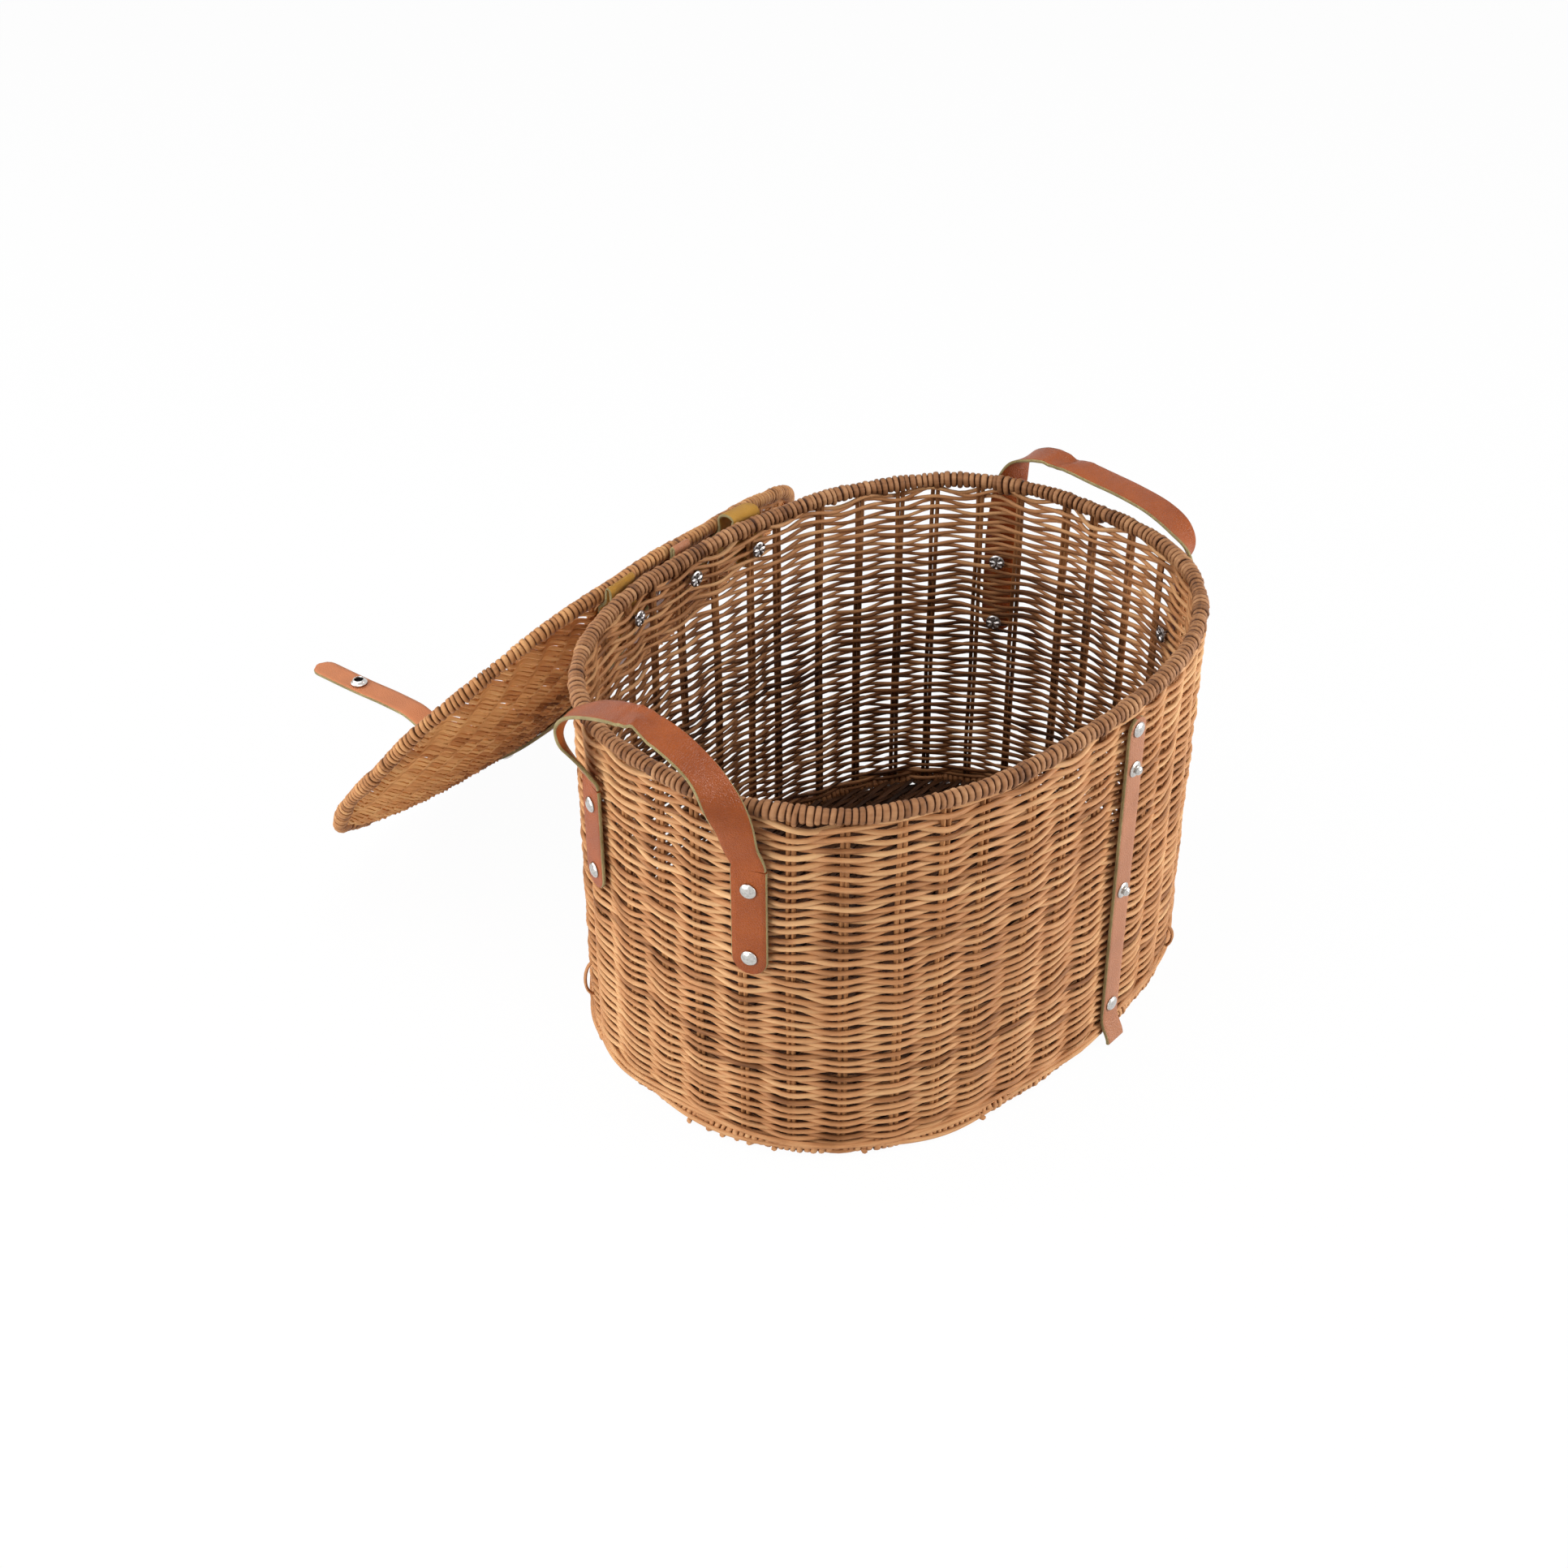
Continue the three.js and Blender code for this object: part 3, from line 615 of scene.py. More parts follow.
@dataclass(frozen=True)
class CaneFinish:
    """Rattan or cane: colours from its darkest to its palest shade."""

    name: str
    dark: Triple
    middle: Triple
    pale: Triple
    roughness: float = 0.55
    fibre_depth: float = 0.00035
    gap_shade: Triple = (0.16, 0.12, 0.08)

    def material(self, grain: Tree) -> Material:
        """Makes the material.

        Args:
            grain: The shared cane grain group.

        Returns:
            The new material.
        """
        material, bench, shader = new_material(self.name)
        surface = bench.add("ShaderNodeUVMap", uv_map=GRAIN_MAP).outputs["UV"]
        tone = bench.add("ShaderNodeAttribute", attribute_name=TONE).outputs["Fac"]
        group = bench.add("ShaderNodeGroup", node_tree=grain)
        bench.feed(group, {"Grain": surface, "Tone": tone})
        deep = tuple(share * part for share, part in zip(self.gap_shade, self.dark))
        stops = [(0.02, deep), (0.29, self.dark), (0.59, self.middle), (0.96, self.pale)]
        values = {
            "Base Color": bench.ramp(group.outputs["Shade"], stops),
            "Roughness": bench.scaled(group.outputs["Fibre"], 0.25, self.roughness - 0.12),
            "Specular IOR Level": 0.2,
            "Normal": bench.bump(group.outputs["Fibre"], self.fibre_depth),
        }
        bench.feed(shader, values)
        return material


@dataclass(frozen=True)
class LeatherFinish:
    """Smooth or napped leather: colours of its patches, gloss, and depth and fineness of its pebbles."""

    name: str
    deep: Triple
    light: Triple
    roughness: float
    depth: float
    pebbles: float = 700.0
    sheen: float = 0.0

    def material(self, grain: Tree) -> Material:
        """Makes the material.

        Args:
            grain: The shared leather grain group.

        Returns:
            The new material.
        """
        material, bench, shader = new_material(self.name)
        place = bench.add("ShaderNodeTexCoord").outputs["Object"]
        group = bench.add("ShaderNodeGroup", node_tree=grain)
        bench.feed(group, {"Place": place, "Pebbles per metre": self.pebbles})
        stops = [(0.3, self.deep), (0.7, self.light)]
        values = {
            "Base Color": bench.ramp(group.outputs["Patch"], stops),
            "Roughness": bench.scaled(group.outputs["Patch"], 0.14, self.roughness - 0.07),
            "Sheen Weight": self.sheen,
            "Specular IOR Level": 0.26,
            "Normal": bench.bump(group.outputs["Pebble"], self.depth),
        }
        bench.feed(shader, values)
        return material


@dataclass(frozen=True)
class NickelFinish:
    """Polished nickel with faint handling marks."""

    name: str
    colour: Triple
    dull: Triple
    roughness: float

    def material(self) -> Material:
        """Makes the material.

        Returns:
            The new material.
        """
        material, bench, shader = new_material(self.name)
        place = bench.add("ShaderNodeTexCoord").outputs["Object"]
        marks = bench.noise(place, 700.0)
        colour = bench.ramp(marks, [(0.35, self.dull), (0.6, self.colour)])
        gloss = bench.scaled(marks, 0.2, self.roughness - 0.1)
        bench.feed(shader, {"Base Color": colour, "Roughness": gloss, "Metallic": 1.0})
        return material


RATTAN = CaneFinish("rattan", (0.2, 0.078, 0.026), (0.48, 0.223, 0.092), (0.68, 0.4, 0.19))
# A shaded copy of the rattan, darker as painted shade for the stakes that stand back in the weave; the lid's ring
# takes it too.
RATTAN_SHADED = CaneFinish("rattan_painted_shade", (0.17, 0.066, 0.021), (0.42, 0.19, 0.072), (0.62, 0.34, 0.14))
# The lid mat's cane: golden, made paler still as painted light on the open lid.
GOLDEN_PAINTED_LIGHT = CaneFinish("rattan_golden_painted_light", (0.286, 0.111, 0.033), (0.66, 0.307, 0.113), (0.86, 0.515, 0.22))
# The base mat's cane: its own brown, darkened further as painted shade for the inside of the basket.
BROWN_PAINTED_SHADE = CaneFinish("rattan_brown_painted_shade", (0.014, 0.0045, 0.0012), (0.05, 0.017, 0.0048), (0.1, 0.038, 0.013))
BINDING = CaneFinish("cane_binding", (0.08, 0.028, 0.009), (0.28, 0.125, 0.052), (0.5, 0.27, 0.13))
LEATHER = LeatherFinish("leather", (0.25, 0.05, 0.005), (0.32, 0.07, 0.009), 0.34, 0.00026)
# A paler copy of the leather: painted sheen, for the straps' soft reflection seen at a glancing angle.
SHEEN_LEATHER = LeatherFinish("leather_painted_sheen", (0.36, 0.14, 0.064), (0.42, 0.172, 0.084), 0.4, 0.00024)
# A much paler copy of the leather: painted light on the tongue, which lies in the lid's shade.
LIT_LEATHER = LeatherFinish("leather_painted_light", (0.52, 0.185, 0.078), (0.59, 0.215, 0.092), 0.42, 0.00012)
RAW_EDGE = LeatherFinish("leather_raw_edge", (0.3, 0.22, 0.075), (0.5, 0.4, 0.17), 0.9, 0.0006, 1400.0, 0.15)
NAP = LeatherFinish("leather_nap", (0.48, 0.22, 0.022), (0.66, 0.34, 0.045), 0.92, 0.0005, 1500.0, 0.1)
NICKEL = NickelFinish("nickel", (0.6, 0.58, 0.55), (0.48, 0.46, 0.44), 0.22)
STEEL = NickelFinish("steel", (0.42, 0.4, 0.39), (0.22, 0.21, 0.21), 0.3)
# Near black for the socket's open mouth: painted shade inside the hole.
HOLE_SHADE = NickelFinish("nickel_painted_shade", (0.05, 0.047, 0.045), (0.02, 0.02, 0.02), 0.6)


class Finishes:
    """The materials of all the basket's finishes."""

    def __init__(self) -> None:
        """Builds the shared groups once and the materials on them."""
        cane = cane_grain_group()
        grain = leather_grain_group()
        self.rattan = RATTAN.material(cane)
        self.shaded = RATTAN_SHADED.material(cane)
        self.lid_cane = GOLDEN_PAINTED_LIGHT.material(cane)
        self.base_cane = BROWN_PAINTED_SHADE.material(cane)
        self.binding = BINDING.material(cane)
        self.leather = LEATHER.material(grain)
        self.pale_leather = SHEEN_LEATHER.material(grain)
        self.tongue_leather = LIT_LEATHER.material(grain)
        self.raw_edge = RAW_EDGE.material(grain)
        self.suede = NAP.material(grain)
        self.nickel = NICKEL.material()
        self.steel = STEEL.material()
        self.hollow = HOLE_SHADE.material()


@dataclass
class BasketFrame:
    """Sizes of the basket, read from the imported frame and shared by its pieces."""

    seat_gap: float = 0.0003
    wall_face: float = 0.0038
    lid_ring_radius: float = 0.0048
    lid_thickness: float = 0.004
    lid_crown: float = 0.0245
    lid_crown_power: float = 0.65
    strap_thickness: float = 0.0022
    ring_sides: int = 8
    slope_step: float = 0.0005

    def __post_init__(self) -> None:
        """Reads the rim's box and the lid's hinge from the frame."""
        low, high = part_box("rim")
        self.rim_radius = (high.z - low.z) / 2
        self.rim_height = (high.z + low.z) / 2
        self.oval = PlanOval((high.x - low.x) / 2 - self.rim_radius, (high.y - low.y) / 2 - self.rim_radius)
        self.lid_ring_height = self.rim_height + self.rim_radius + self.seat_gap + self.lid_ring_radius
        self.joints = {joint["name"]: joint for joint in frame["joints"]}
        hinge = self.joints["lid_hinge"]
        pivot = Vector(hinge["pos_m"])
        turn = Matrix.Rotation(math.radians(-hinge["range_deg"][1]), 4, Vector(hinge["axis"]))
        self.open_lid = np.array(Matrix.Translation(pivot) @ turn @ Matrix.Translation(-pivot))

    def seat(self, thickness: float) -> float:
        """Gives how far a strap's middle lies off the face under it."""
        return self.seat_gap + thickness / 2

    def facet_reach(self, radius: float) -> float:
        """Gives how far a ring's facets reach out for a radius."""
        return radius / math.cos(math.pi / self.ring_sides)

    def opened(self, points: Array) -> Array:
        """Turns points of the shut lid to where the open lid has them."""
        return points @ self.open_lid[:3, :3].T + self.open_lid[:3, 3]

    def opened_direction(self, directions: Array) -> Array:
        """Turns directions of the shut lid to the open lid's."""
        return directions @ self.open_lid[:3, :3].T

    def dome_height(self, x: Array, y: Array) -> Array:
        """Gives the height of the shut lid's outer face.

        Args:
            x: Places along the basket.
            y: Places across it.

        Returns:
            Heights over the floor.
        """
        edge = self.facet_reach(self.lid_ring_radius) + self.seat_gap
        spread = np.abs(x / (self.oval.half_length - edge)) ** self.oval.power
        spread = spread + np.abs(y / (self.oval.half_width - edge)) ** self.oval.power
        share = np.minimum(spread ** (1 / self.oval.power), 1.0)
        rise = self.lid_crown * (1 - share**2) ** self.lid_crown_power
        return self.lid_ring_height + self.lid_thickness / 2 + rise

    def dome_normal(self, x: Array, y: Array) -> Array:
        """Gives the outward direction of the shut lid's outer face.

        Args:
            x: Places along the basket.
            y: Places across it.

        Returns:
            Unit directions.
        """
        step = self.slope_step
        slope_x = (self.dome_height(x + step, y) - self.dome_height(x - step, y)) / (2 * step)
        slope_y = (self.dome_height(x, y + step) - self.dome_height(x, y - step)) / (2 * step)
        return unit(np.stack([-slope_x, -slope_y, np.ones_like(slope_x)], axis=-1))

    def on_dome(self, x: float, y: float, offset: float) -> Array:
        """Gives the point over the shut lid at a distance off its outer face."""
        flat = np.array([x, y, float(self.dome_height(np.array(x), np.array(y)))])
        return flat + offset * self.dome_normal(np.array(x), np.array(y))


@dataclass
class Part:
    """What every part of the basket is made from: the shared sizes and the finishes."""

    basket: BasketFrame
    finishes: Finishes


@dataclass
class WovenWall(Part):
    """The wall: thin weavers in and out of pairs of upright stakes, uneven as hand work is.

    Attributes:
        swing_range: Least and most share of the swing at a stake.
        swell_range: Least and most share of a weaver's radius at a stake.
        radius_range: Least and most share of the weavers' radius, row by row.
        fullness: How full the weavers are, and how much thinner they get toward thin_side.
        thin_side: Direction, as x and y, in which the weavers are thinnest.
        sag: Slow rise and fall of the rows.
        bulge: Slow swell of the wall in and out.
        stains: Patches where neighbouring rows are darker or paler.
        loose_loops: Share of a turn, height, size and reach of each loop that hangs out of the wall.
        cut_ends: Shares of a turn at which a cane ends at the foot.
    """

    stakes: int = 40
    stake_radius: float = 0.0015
    stake_pair: float = 0.003
    stake_sides: int = 6
    stake_drift: float = 0.14
    stake_wander: float = 0.0003
    weaver_radius: float = 0.00143
    weaver_sides: int = 7
    rows: int = 78
    foot: float = 0.0035
    rim_gap: float = 0.0012
    swing: float = 0.0023
    row_shift: float = 0.0007
    swing_range: tuple[float, float] = (0.74, 1.2)
    swell_range: tuple[float, float] = (0.9, 1.1)
    radius_range: tuple[float, float] = (0.86, 1.12)
    fullness: tuple[float, float] = (1.04, 0.13)
    thin_side: tuple[float, float] = (0.6, 0.8)
    steps_per_stake: int = 6
    loose_rows: int = 5
    loose_sag: float = 1.3
    tight_rows: float = 5.0
    loose_loops: tuple[tuple[float, ...], ...] = (
        (0.4267, 0.04, 0.026, 0.0064),
        (0.853, 0.017, 0.018, 0.0056),
    )
    loop_radius: float = 0.0011
    loop_root: float = 0.002
    cut_ends: tuple[float, ...] = (0.519, 0.5345, 0.541, 0.5475, 0.557, 0.568, 0.612, 0.677)
    cut_radius: float = 0.0017
    foot_canes: int = 3
    foot_cane_radius: float = 0.0015
    foot_cane_out: float = 0.0031
    foot_cane_low: float = 0.0052
    foot_cane_step: float = 0.0026
    # Painted shade on the wall's inward sides, stronger deep down.
    inner_painted_shade: float = 0.2
    deep_painted_shade: float = 0.62
    sag: Unevenness = Unevenness(seed=5, size=0.0011, round_waves=30)
    bulge: Unevenness = Unevenness(seed=8, size=0.0006, round_waves=14, height_waves=5.0)
    stains: Unevenness = Unevenness(seed=14, size=0.065, round_waves=9, height_waves=7.0)

    def __post_init__(self) -> None:
        """Sets the stakes at uneven spaces round the wall."""
        random = np.random.default_rng(31)
        drift = random.uniform(-self.stake_drift, self.stake_drift, self.stakes)
        self.spots = (np.arange(self.stakes) + drift) / self.stakes

    def phase(self, share: Array) -> Array:
        """Counts the stakes passed up to a share of a turn, with fractions between them."""
        spots = np.concatenate([self.spots[-1:] - 1, self.spots, self.spots[:1] + 1])
        return np.interp(share, spots, np.arange(-1, self.stakes + 1))

    def per_stake(self, random: np.random.Generator, low: float, high: float, share: Array) -> Array:
        """Draws a value for each stake and runs smoothly from one to the next.

        Args:
            random: Source of the draws.
            low: Least value.
            high: Most.
            share: Shares of a turn.

        Returns:
            The values there.
        """
        values = random.uniform(low, high, self.stakes)
        place = self.phase(share)
        left = np.floor(place).astype(int)
        blend = smoothstep(place - left, 0.0, 1.0)
        return values[left % self.stakes] * (1 - blend) + values[(left + 1) % self.stakes] * blend

    def tones(self, random: np.random.Generator, share: Array, height: float) -> Array:
        """Tones one row: a few lengths of cane joined end to end, over the wall's stains.

        Args:
            random: Source of the draws.
            share: Shares of a turn.
            height: The row's height.

        Returns:
            The tones there.
        """
        joins = np.sort(random.random(random.integers(2, 5)))
        lengths = np.clip(random.normal(0.52, 0.16, len(joins) + 1), 0.08, 0.92)
        lengths[-1] = lengths[0]
        return lengths[np.searchsorted(joins, share)] + self.stains.at(share, height)

    def painted_shade(self, outwardness: Array, height: Array | float) -> Array:
        """Gives painted shade: how much darker the cane is on the basket's inside, more so deep down, where shade
        falls.

        Args:
            outwardness: How far a side of the cane faces out, from -1 to 1.
            height: Heights over the floor.

        Returns:
            What is taken from the tone.
        """
        inward = np.clip(0.05 - 0.95 * outwardness, 0.0, 1.0)
        depth = self.basket.rim_height - height
        return inward * (self.inner_painted_shade + (self.deep_painted_shade - self.inner_painted_shade) * smoothstep(depth, 0.01, 0.13))

    def weavers(self, first_row: int, last_row: int) -> Draft:
        """Weaves a span of rows between the base ring and the rim.

        Args:
            first_row: First row of the span, counted from the floor.
            last_row: Row after the last one.

        Returns:
            The rows' draft.
        """
        random = np.random.default_rng(11 + first_row)
        draft = Draft()
        top = self.basket.rim_height - self.basket.rim_radius - self.rim_gap
        count = self.stakes * self.steps_per_stake
        share = np.arange(count) / count
        ground, out = self.basket.oval.walk(share)
        full, thinner = self.fullness
        fullness = full - thinner * (self.thin_side[0] * out[:, 0] + self.thin_side[1] * out[:, 1])
        outwardness = np.sin(angles(self.weaver_sides))
        for row in range(first_row, last_row):
            climb = row / (self.rows - 1)
            height = self.foot + (top - self.foot) * climb * (0.9 + 0.1 * climb)
            looseness = 1 + self.loose_sag * max(0.0, 1 - (self.rows - 1 - row) / self.loose_rows)
            tightness = smoothstep(row, -1.0, self.tight_rows)
            level = height + tightness * looseness * self.sag.at(share, height)
            level = level + looseness * self.per_stake(random, -self.row_shift, self.row_shift, share)
            swing = self.swing * self.per_stake(random, *self.swing_range, share)
            beat = np.cos(math.pi * (self.phase(share) + row))
            path = lifted(ground, out, swing * beat + self.bulge.at(share, height), level)
            swell = self.per_stake(random, *self.swell_range, share)
            radius = self.weaver_radius * random.uniform(*self.radius_range) * swell * fullness
            # Painted shade darkens the sides that face into the basket, more so deep down.
            tone = self.tones(random, share, height)[:, None] - self.painted_shade(outwardness, height)
            draft.tube(path, UP, radius, self.weaver_sides, True, tone)
        return draft

    def uprights(self) -> Draft:
        """Sets the pairs of stakes.

        Returns:
            The stakes' draft.
        """
        random = np.random.default_rng(12)
        draft = Draft()
        height = np.linspace(0.004, self.basket.rim_height - 0.001, 26)
        outwardness = np.cos(angles(self.stake_sides))
        for spot in self.spots:
            share = np.full(len(height), spot)
            ground, out = self.basket.oval.walk(share)
            sideways = np.cross(UP, out)
            middle = lifted(ground, out, self.bulge.at(share, height), height)
            for side in (-0.5, 0.5):
                wander = self.stake_wander * np.sin(height * random.uniform(20, 60) + random.uniform(0, 6))
                path = middle + (side * self.stake_pair + wander)[:, None] * sideways
                tone = np.clip(random.normal(0.36, 0.1), 0.1, 0.8)
                # Painted shade darkens the stakes' inward sides, more so deep down.
                tone = tone - self.painted_shade(outwardness, height[:, None])
                draft.tube(path, out, self.stake_radius, self.stake_sides, False, tone, sideways)
        return draft

    def strays(self) -> Draft:
        """Adds loose loops of cane on the wall and cut cane ends at its foot.

        Returns:
            The strays' draft.
        """
        random = np.random.default_rng(17)
        draft = Draft()
        for share, height, tall, reach in self.loose_loops:
            climb = np.linspace(0, math.pi, 12)
            ground, out = self.basket.oval.walk(np.full(len(climb), share))
            sideways = np.cross(UP, out)
            level = height - tall / 2 * np.cos(climb)
            path = lifted(ground, out, self.loop_root + reach * np.sin(climb), level)
            path = path + self.loop_root * np.sin(climb)[:, None] * sideways
            second = np.cross(unit(np.gradient(path, axis=0)), sideways)
            draft.tube(path, sideways, self.loop_radius, self.stake_sides, False, 0.45, second)
        for share in self.cut_ends:
            ground, out = self.basket.oval.walk(np.full(4, share))
            sideways = np.cross(UP, out)
            length = np.linspace(0, random.uniform(0.6, 1.2), 4)
            path = lifted(ground, out, 0.002 + 0.0042 * length, 0.0036 - 0.0014 * length)
            path = path + (random.normal(0, 0.0025) * length)[:, None] * sideways
            tone = random.uniform(0.25, 0.7)
            draft.tube(path, UP + 0 * path, self.cut_radius, self.stake_sides, False, tone, sideways)
        return draft

    def border(self) -> Draft:
        """Runs long canes round the wall's foot, in and out of sight over the base ring.

        Returns:
            The canes' draft.
        """
        random = np.random.default_rng(19)
        draft = Draft()
        count = self.stakes * self.steps_per_stake
        share = np.arange(count) / count
        ground, out = self.basket.oval.walk(share)
        for cane in range(self.foot_canes):
            rise = Unevenness(seed=50 + cane, size=0.0024, round_waves=12).at(share)
            sink = Unevenness(seed=60 + cane, size=0.0013, round_waves=15).at(share)
            height = np.maximum(self.foot_cane_low + self.foot_cane_step * cane + rise, 0.0024)
            path = lifted(ground, out, self.foot_cane_out + sink, height)
            tone = self.tones(random, share, 0.004)
            draft.tube(path, UP, self.foot_cane_radius, self.weaver_sides, True, tone)
        return draft

    def build(self) -> None:
        """Makes the foot, the weavers and the stakes."""
        half = self.rows // 2
        rattan = self.finishes.rattan
        settle(self.border().build("wall_foot_canes", [rattan]), "basket", Slot.RATTAN)
        settle(self.strays().build("wall_cane_ends", [rattan]), "basket", Slot.RATTAN)
        for name, first, last in (("lower", 0, half), ("upper", half, self.rows)):
            piece = self.weavers(first, last).build(f"wall_weavers_{name}", [rattan])
            settle(piece, "basket", Slot.RATTAN, "wall")
        settle(self.uprights().build("wall_stakes", [self.finishes.shaded]), "basket", Slot.RATTAN)


@dataclass
class BoundRing(Part):
    """A ring of canes bound round with a thin split cane.

    Attributes:
        waver: How far the ring rises and falls on its way round.
        lean: How far the windings lean along the ring, and how much that varies.
        stitches: Whether some windings are pulled down over the wall.
        pulled: Share of the windings that are pulled down.
        pull: Least and most that they are pulled.
        opened: Whether the ring is drawn on the shut lid and turned to the open one.
        inner_painted_shade: How much darker the ring's inside is.
        seat: Upper or lower face on which another ring rests, which is flattened.
        profile: One winding's steps: share of its width, height and tone; the tone is painted shade, darkest in
            the grooves at the winding's edges.
    """

    name: str
    body: str
    cane: Material
    radius: float
    height: float
    seed: int
    wrap_width: float = 0.004
    wrap_depth: float = 0.0016
    sides: int = 12
    waver: float = 0.0006
    swell: float = 0.00035
    lean: tuple[float, float] = (0.0005, 0.00035)
    stitches: bool = False
    pulled: float = 0.12
    pull: tuple[float, float] = (0.0006, 0.0022)
    opened: bool = False
    # Painted shade on the ring's inside, where the basket's inside lies in shade.
    inner_painted_shade: float = 0.0
    wave_seed: int = 23
    seat: Side | None = None
    seat_slack: float = 0.0002
    profile: tuple[Triple, ...] = (
        (0.0, -0.1, -0.6),
        (0.07, 0.5, 0.25),
        (0.2, 0.85, 0.9),
        (0.5, 1.0, 1.0),
        (0.8, 0.85, 0.9),
        (0.93, 0.5, 0.25),
    )

    def draft(self) -> Draft:
        """Winds the binding round the ring.

        Returns:
            The ring's draft.
        """
        random = np.random.default_rng(self.seed)
        length = self.basket.oval.length()
        wraps = round(length / self.wrap_width)
        widths = random.uniform(0.8, 1.2, wraps)
        starts = np.concatenate([[0.0], np.cumsum(widths)])[:-1] / widths.sum()
        phases, heights, winding_shade = np.array(self.profile).T
        share = (starts[:, None] + phases * widths[:, None] / widths.sum()).reshape(-1)
        rise = (heights * random.uniform(0.7, 1.25, wraps)[:, None]).reshape(-1)
        lean = np.repeat(random.normal(*self.lean, wraps), len(phases))
        tone = np.repeat(np.clip(random.normal(0.52, 0.11, wraps), 0.15, 0.9), len(phases))
        # Painted shade: each winding darkens toward the grooves at its edges.
        tone = tone * np.tile(winding_shade, wraps)
        turn = angles(self.sides)
        reach = (self.radius - self.wrap_depth + rise * self.wrap_depth)[:, None] * np.ones(self.sides)
        if self.stitches:
            pulled = random.random(wraps) < self.pulled
            drop = np.repeat(pulled * random.uniform(*self.pull, wraps), len(phases)) * (rise > 0)
            reach = reach + drop[:, None] * np.clip(-np.cos(turn), 0, 1)
        reach = reach + Unevenness(seed=self.seed + 40, size=self.swell, round_waves=30).at(share)[:, None]
        level = self.height + Unevenness(seed=self.wave_seed, size=self.waver, round_waves=18).at(share)
        rises = reach * np.cos(turn)
        if self.seat is Side.POSITIVE:
            rises = np.minimum(rises, self.radius + self.seat_slack)
        if self.seat is Side.NEGATIVE:
            rises = np.maximum(rises, self.seat_slack - self.radius)
        ground, out = self.basket.oval.walk(share[:, None] + lean[:, None] * np.cos(turn + 0.6) / length)
        points = ground + (reach * np.sin(turn))[..., None] * out + (level[:, None] + rises)[..., None] * UP
        if self.opened:
            points = self.basket.opened(points)
        draft = Draft()
        # Painted shade darkens the ring's inward side.
        inside = np.clip(0.35 - 1.6 * np.sin(turn), 0.0, 1.0)
        draft.grid(points, tone[:, None] * (1 - self.inner_painted_shade * inside), True)
        return draft

    def build(self) -> None:
        """Makes the bound ring."""
        piece = self.draft().build(f"{self.name}_binding", [self.cane], 80.0)
        settle(piece, self.body, Slot.BINDING, self.name)


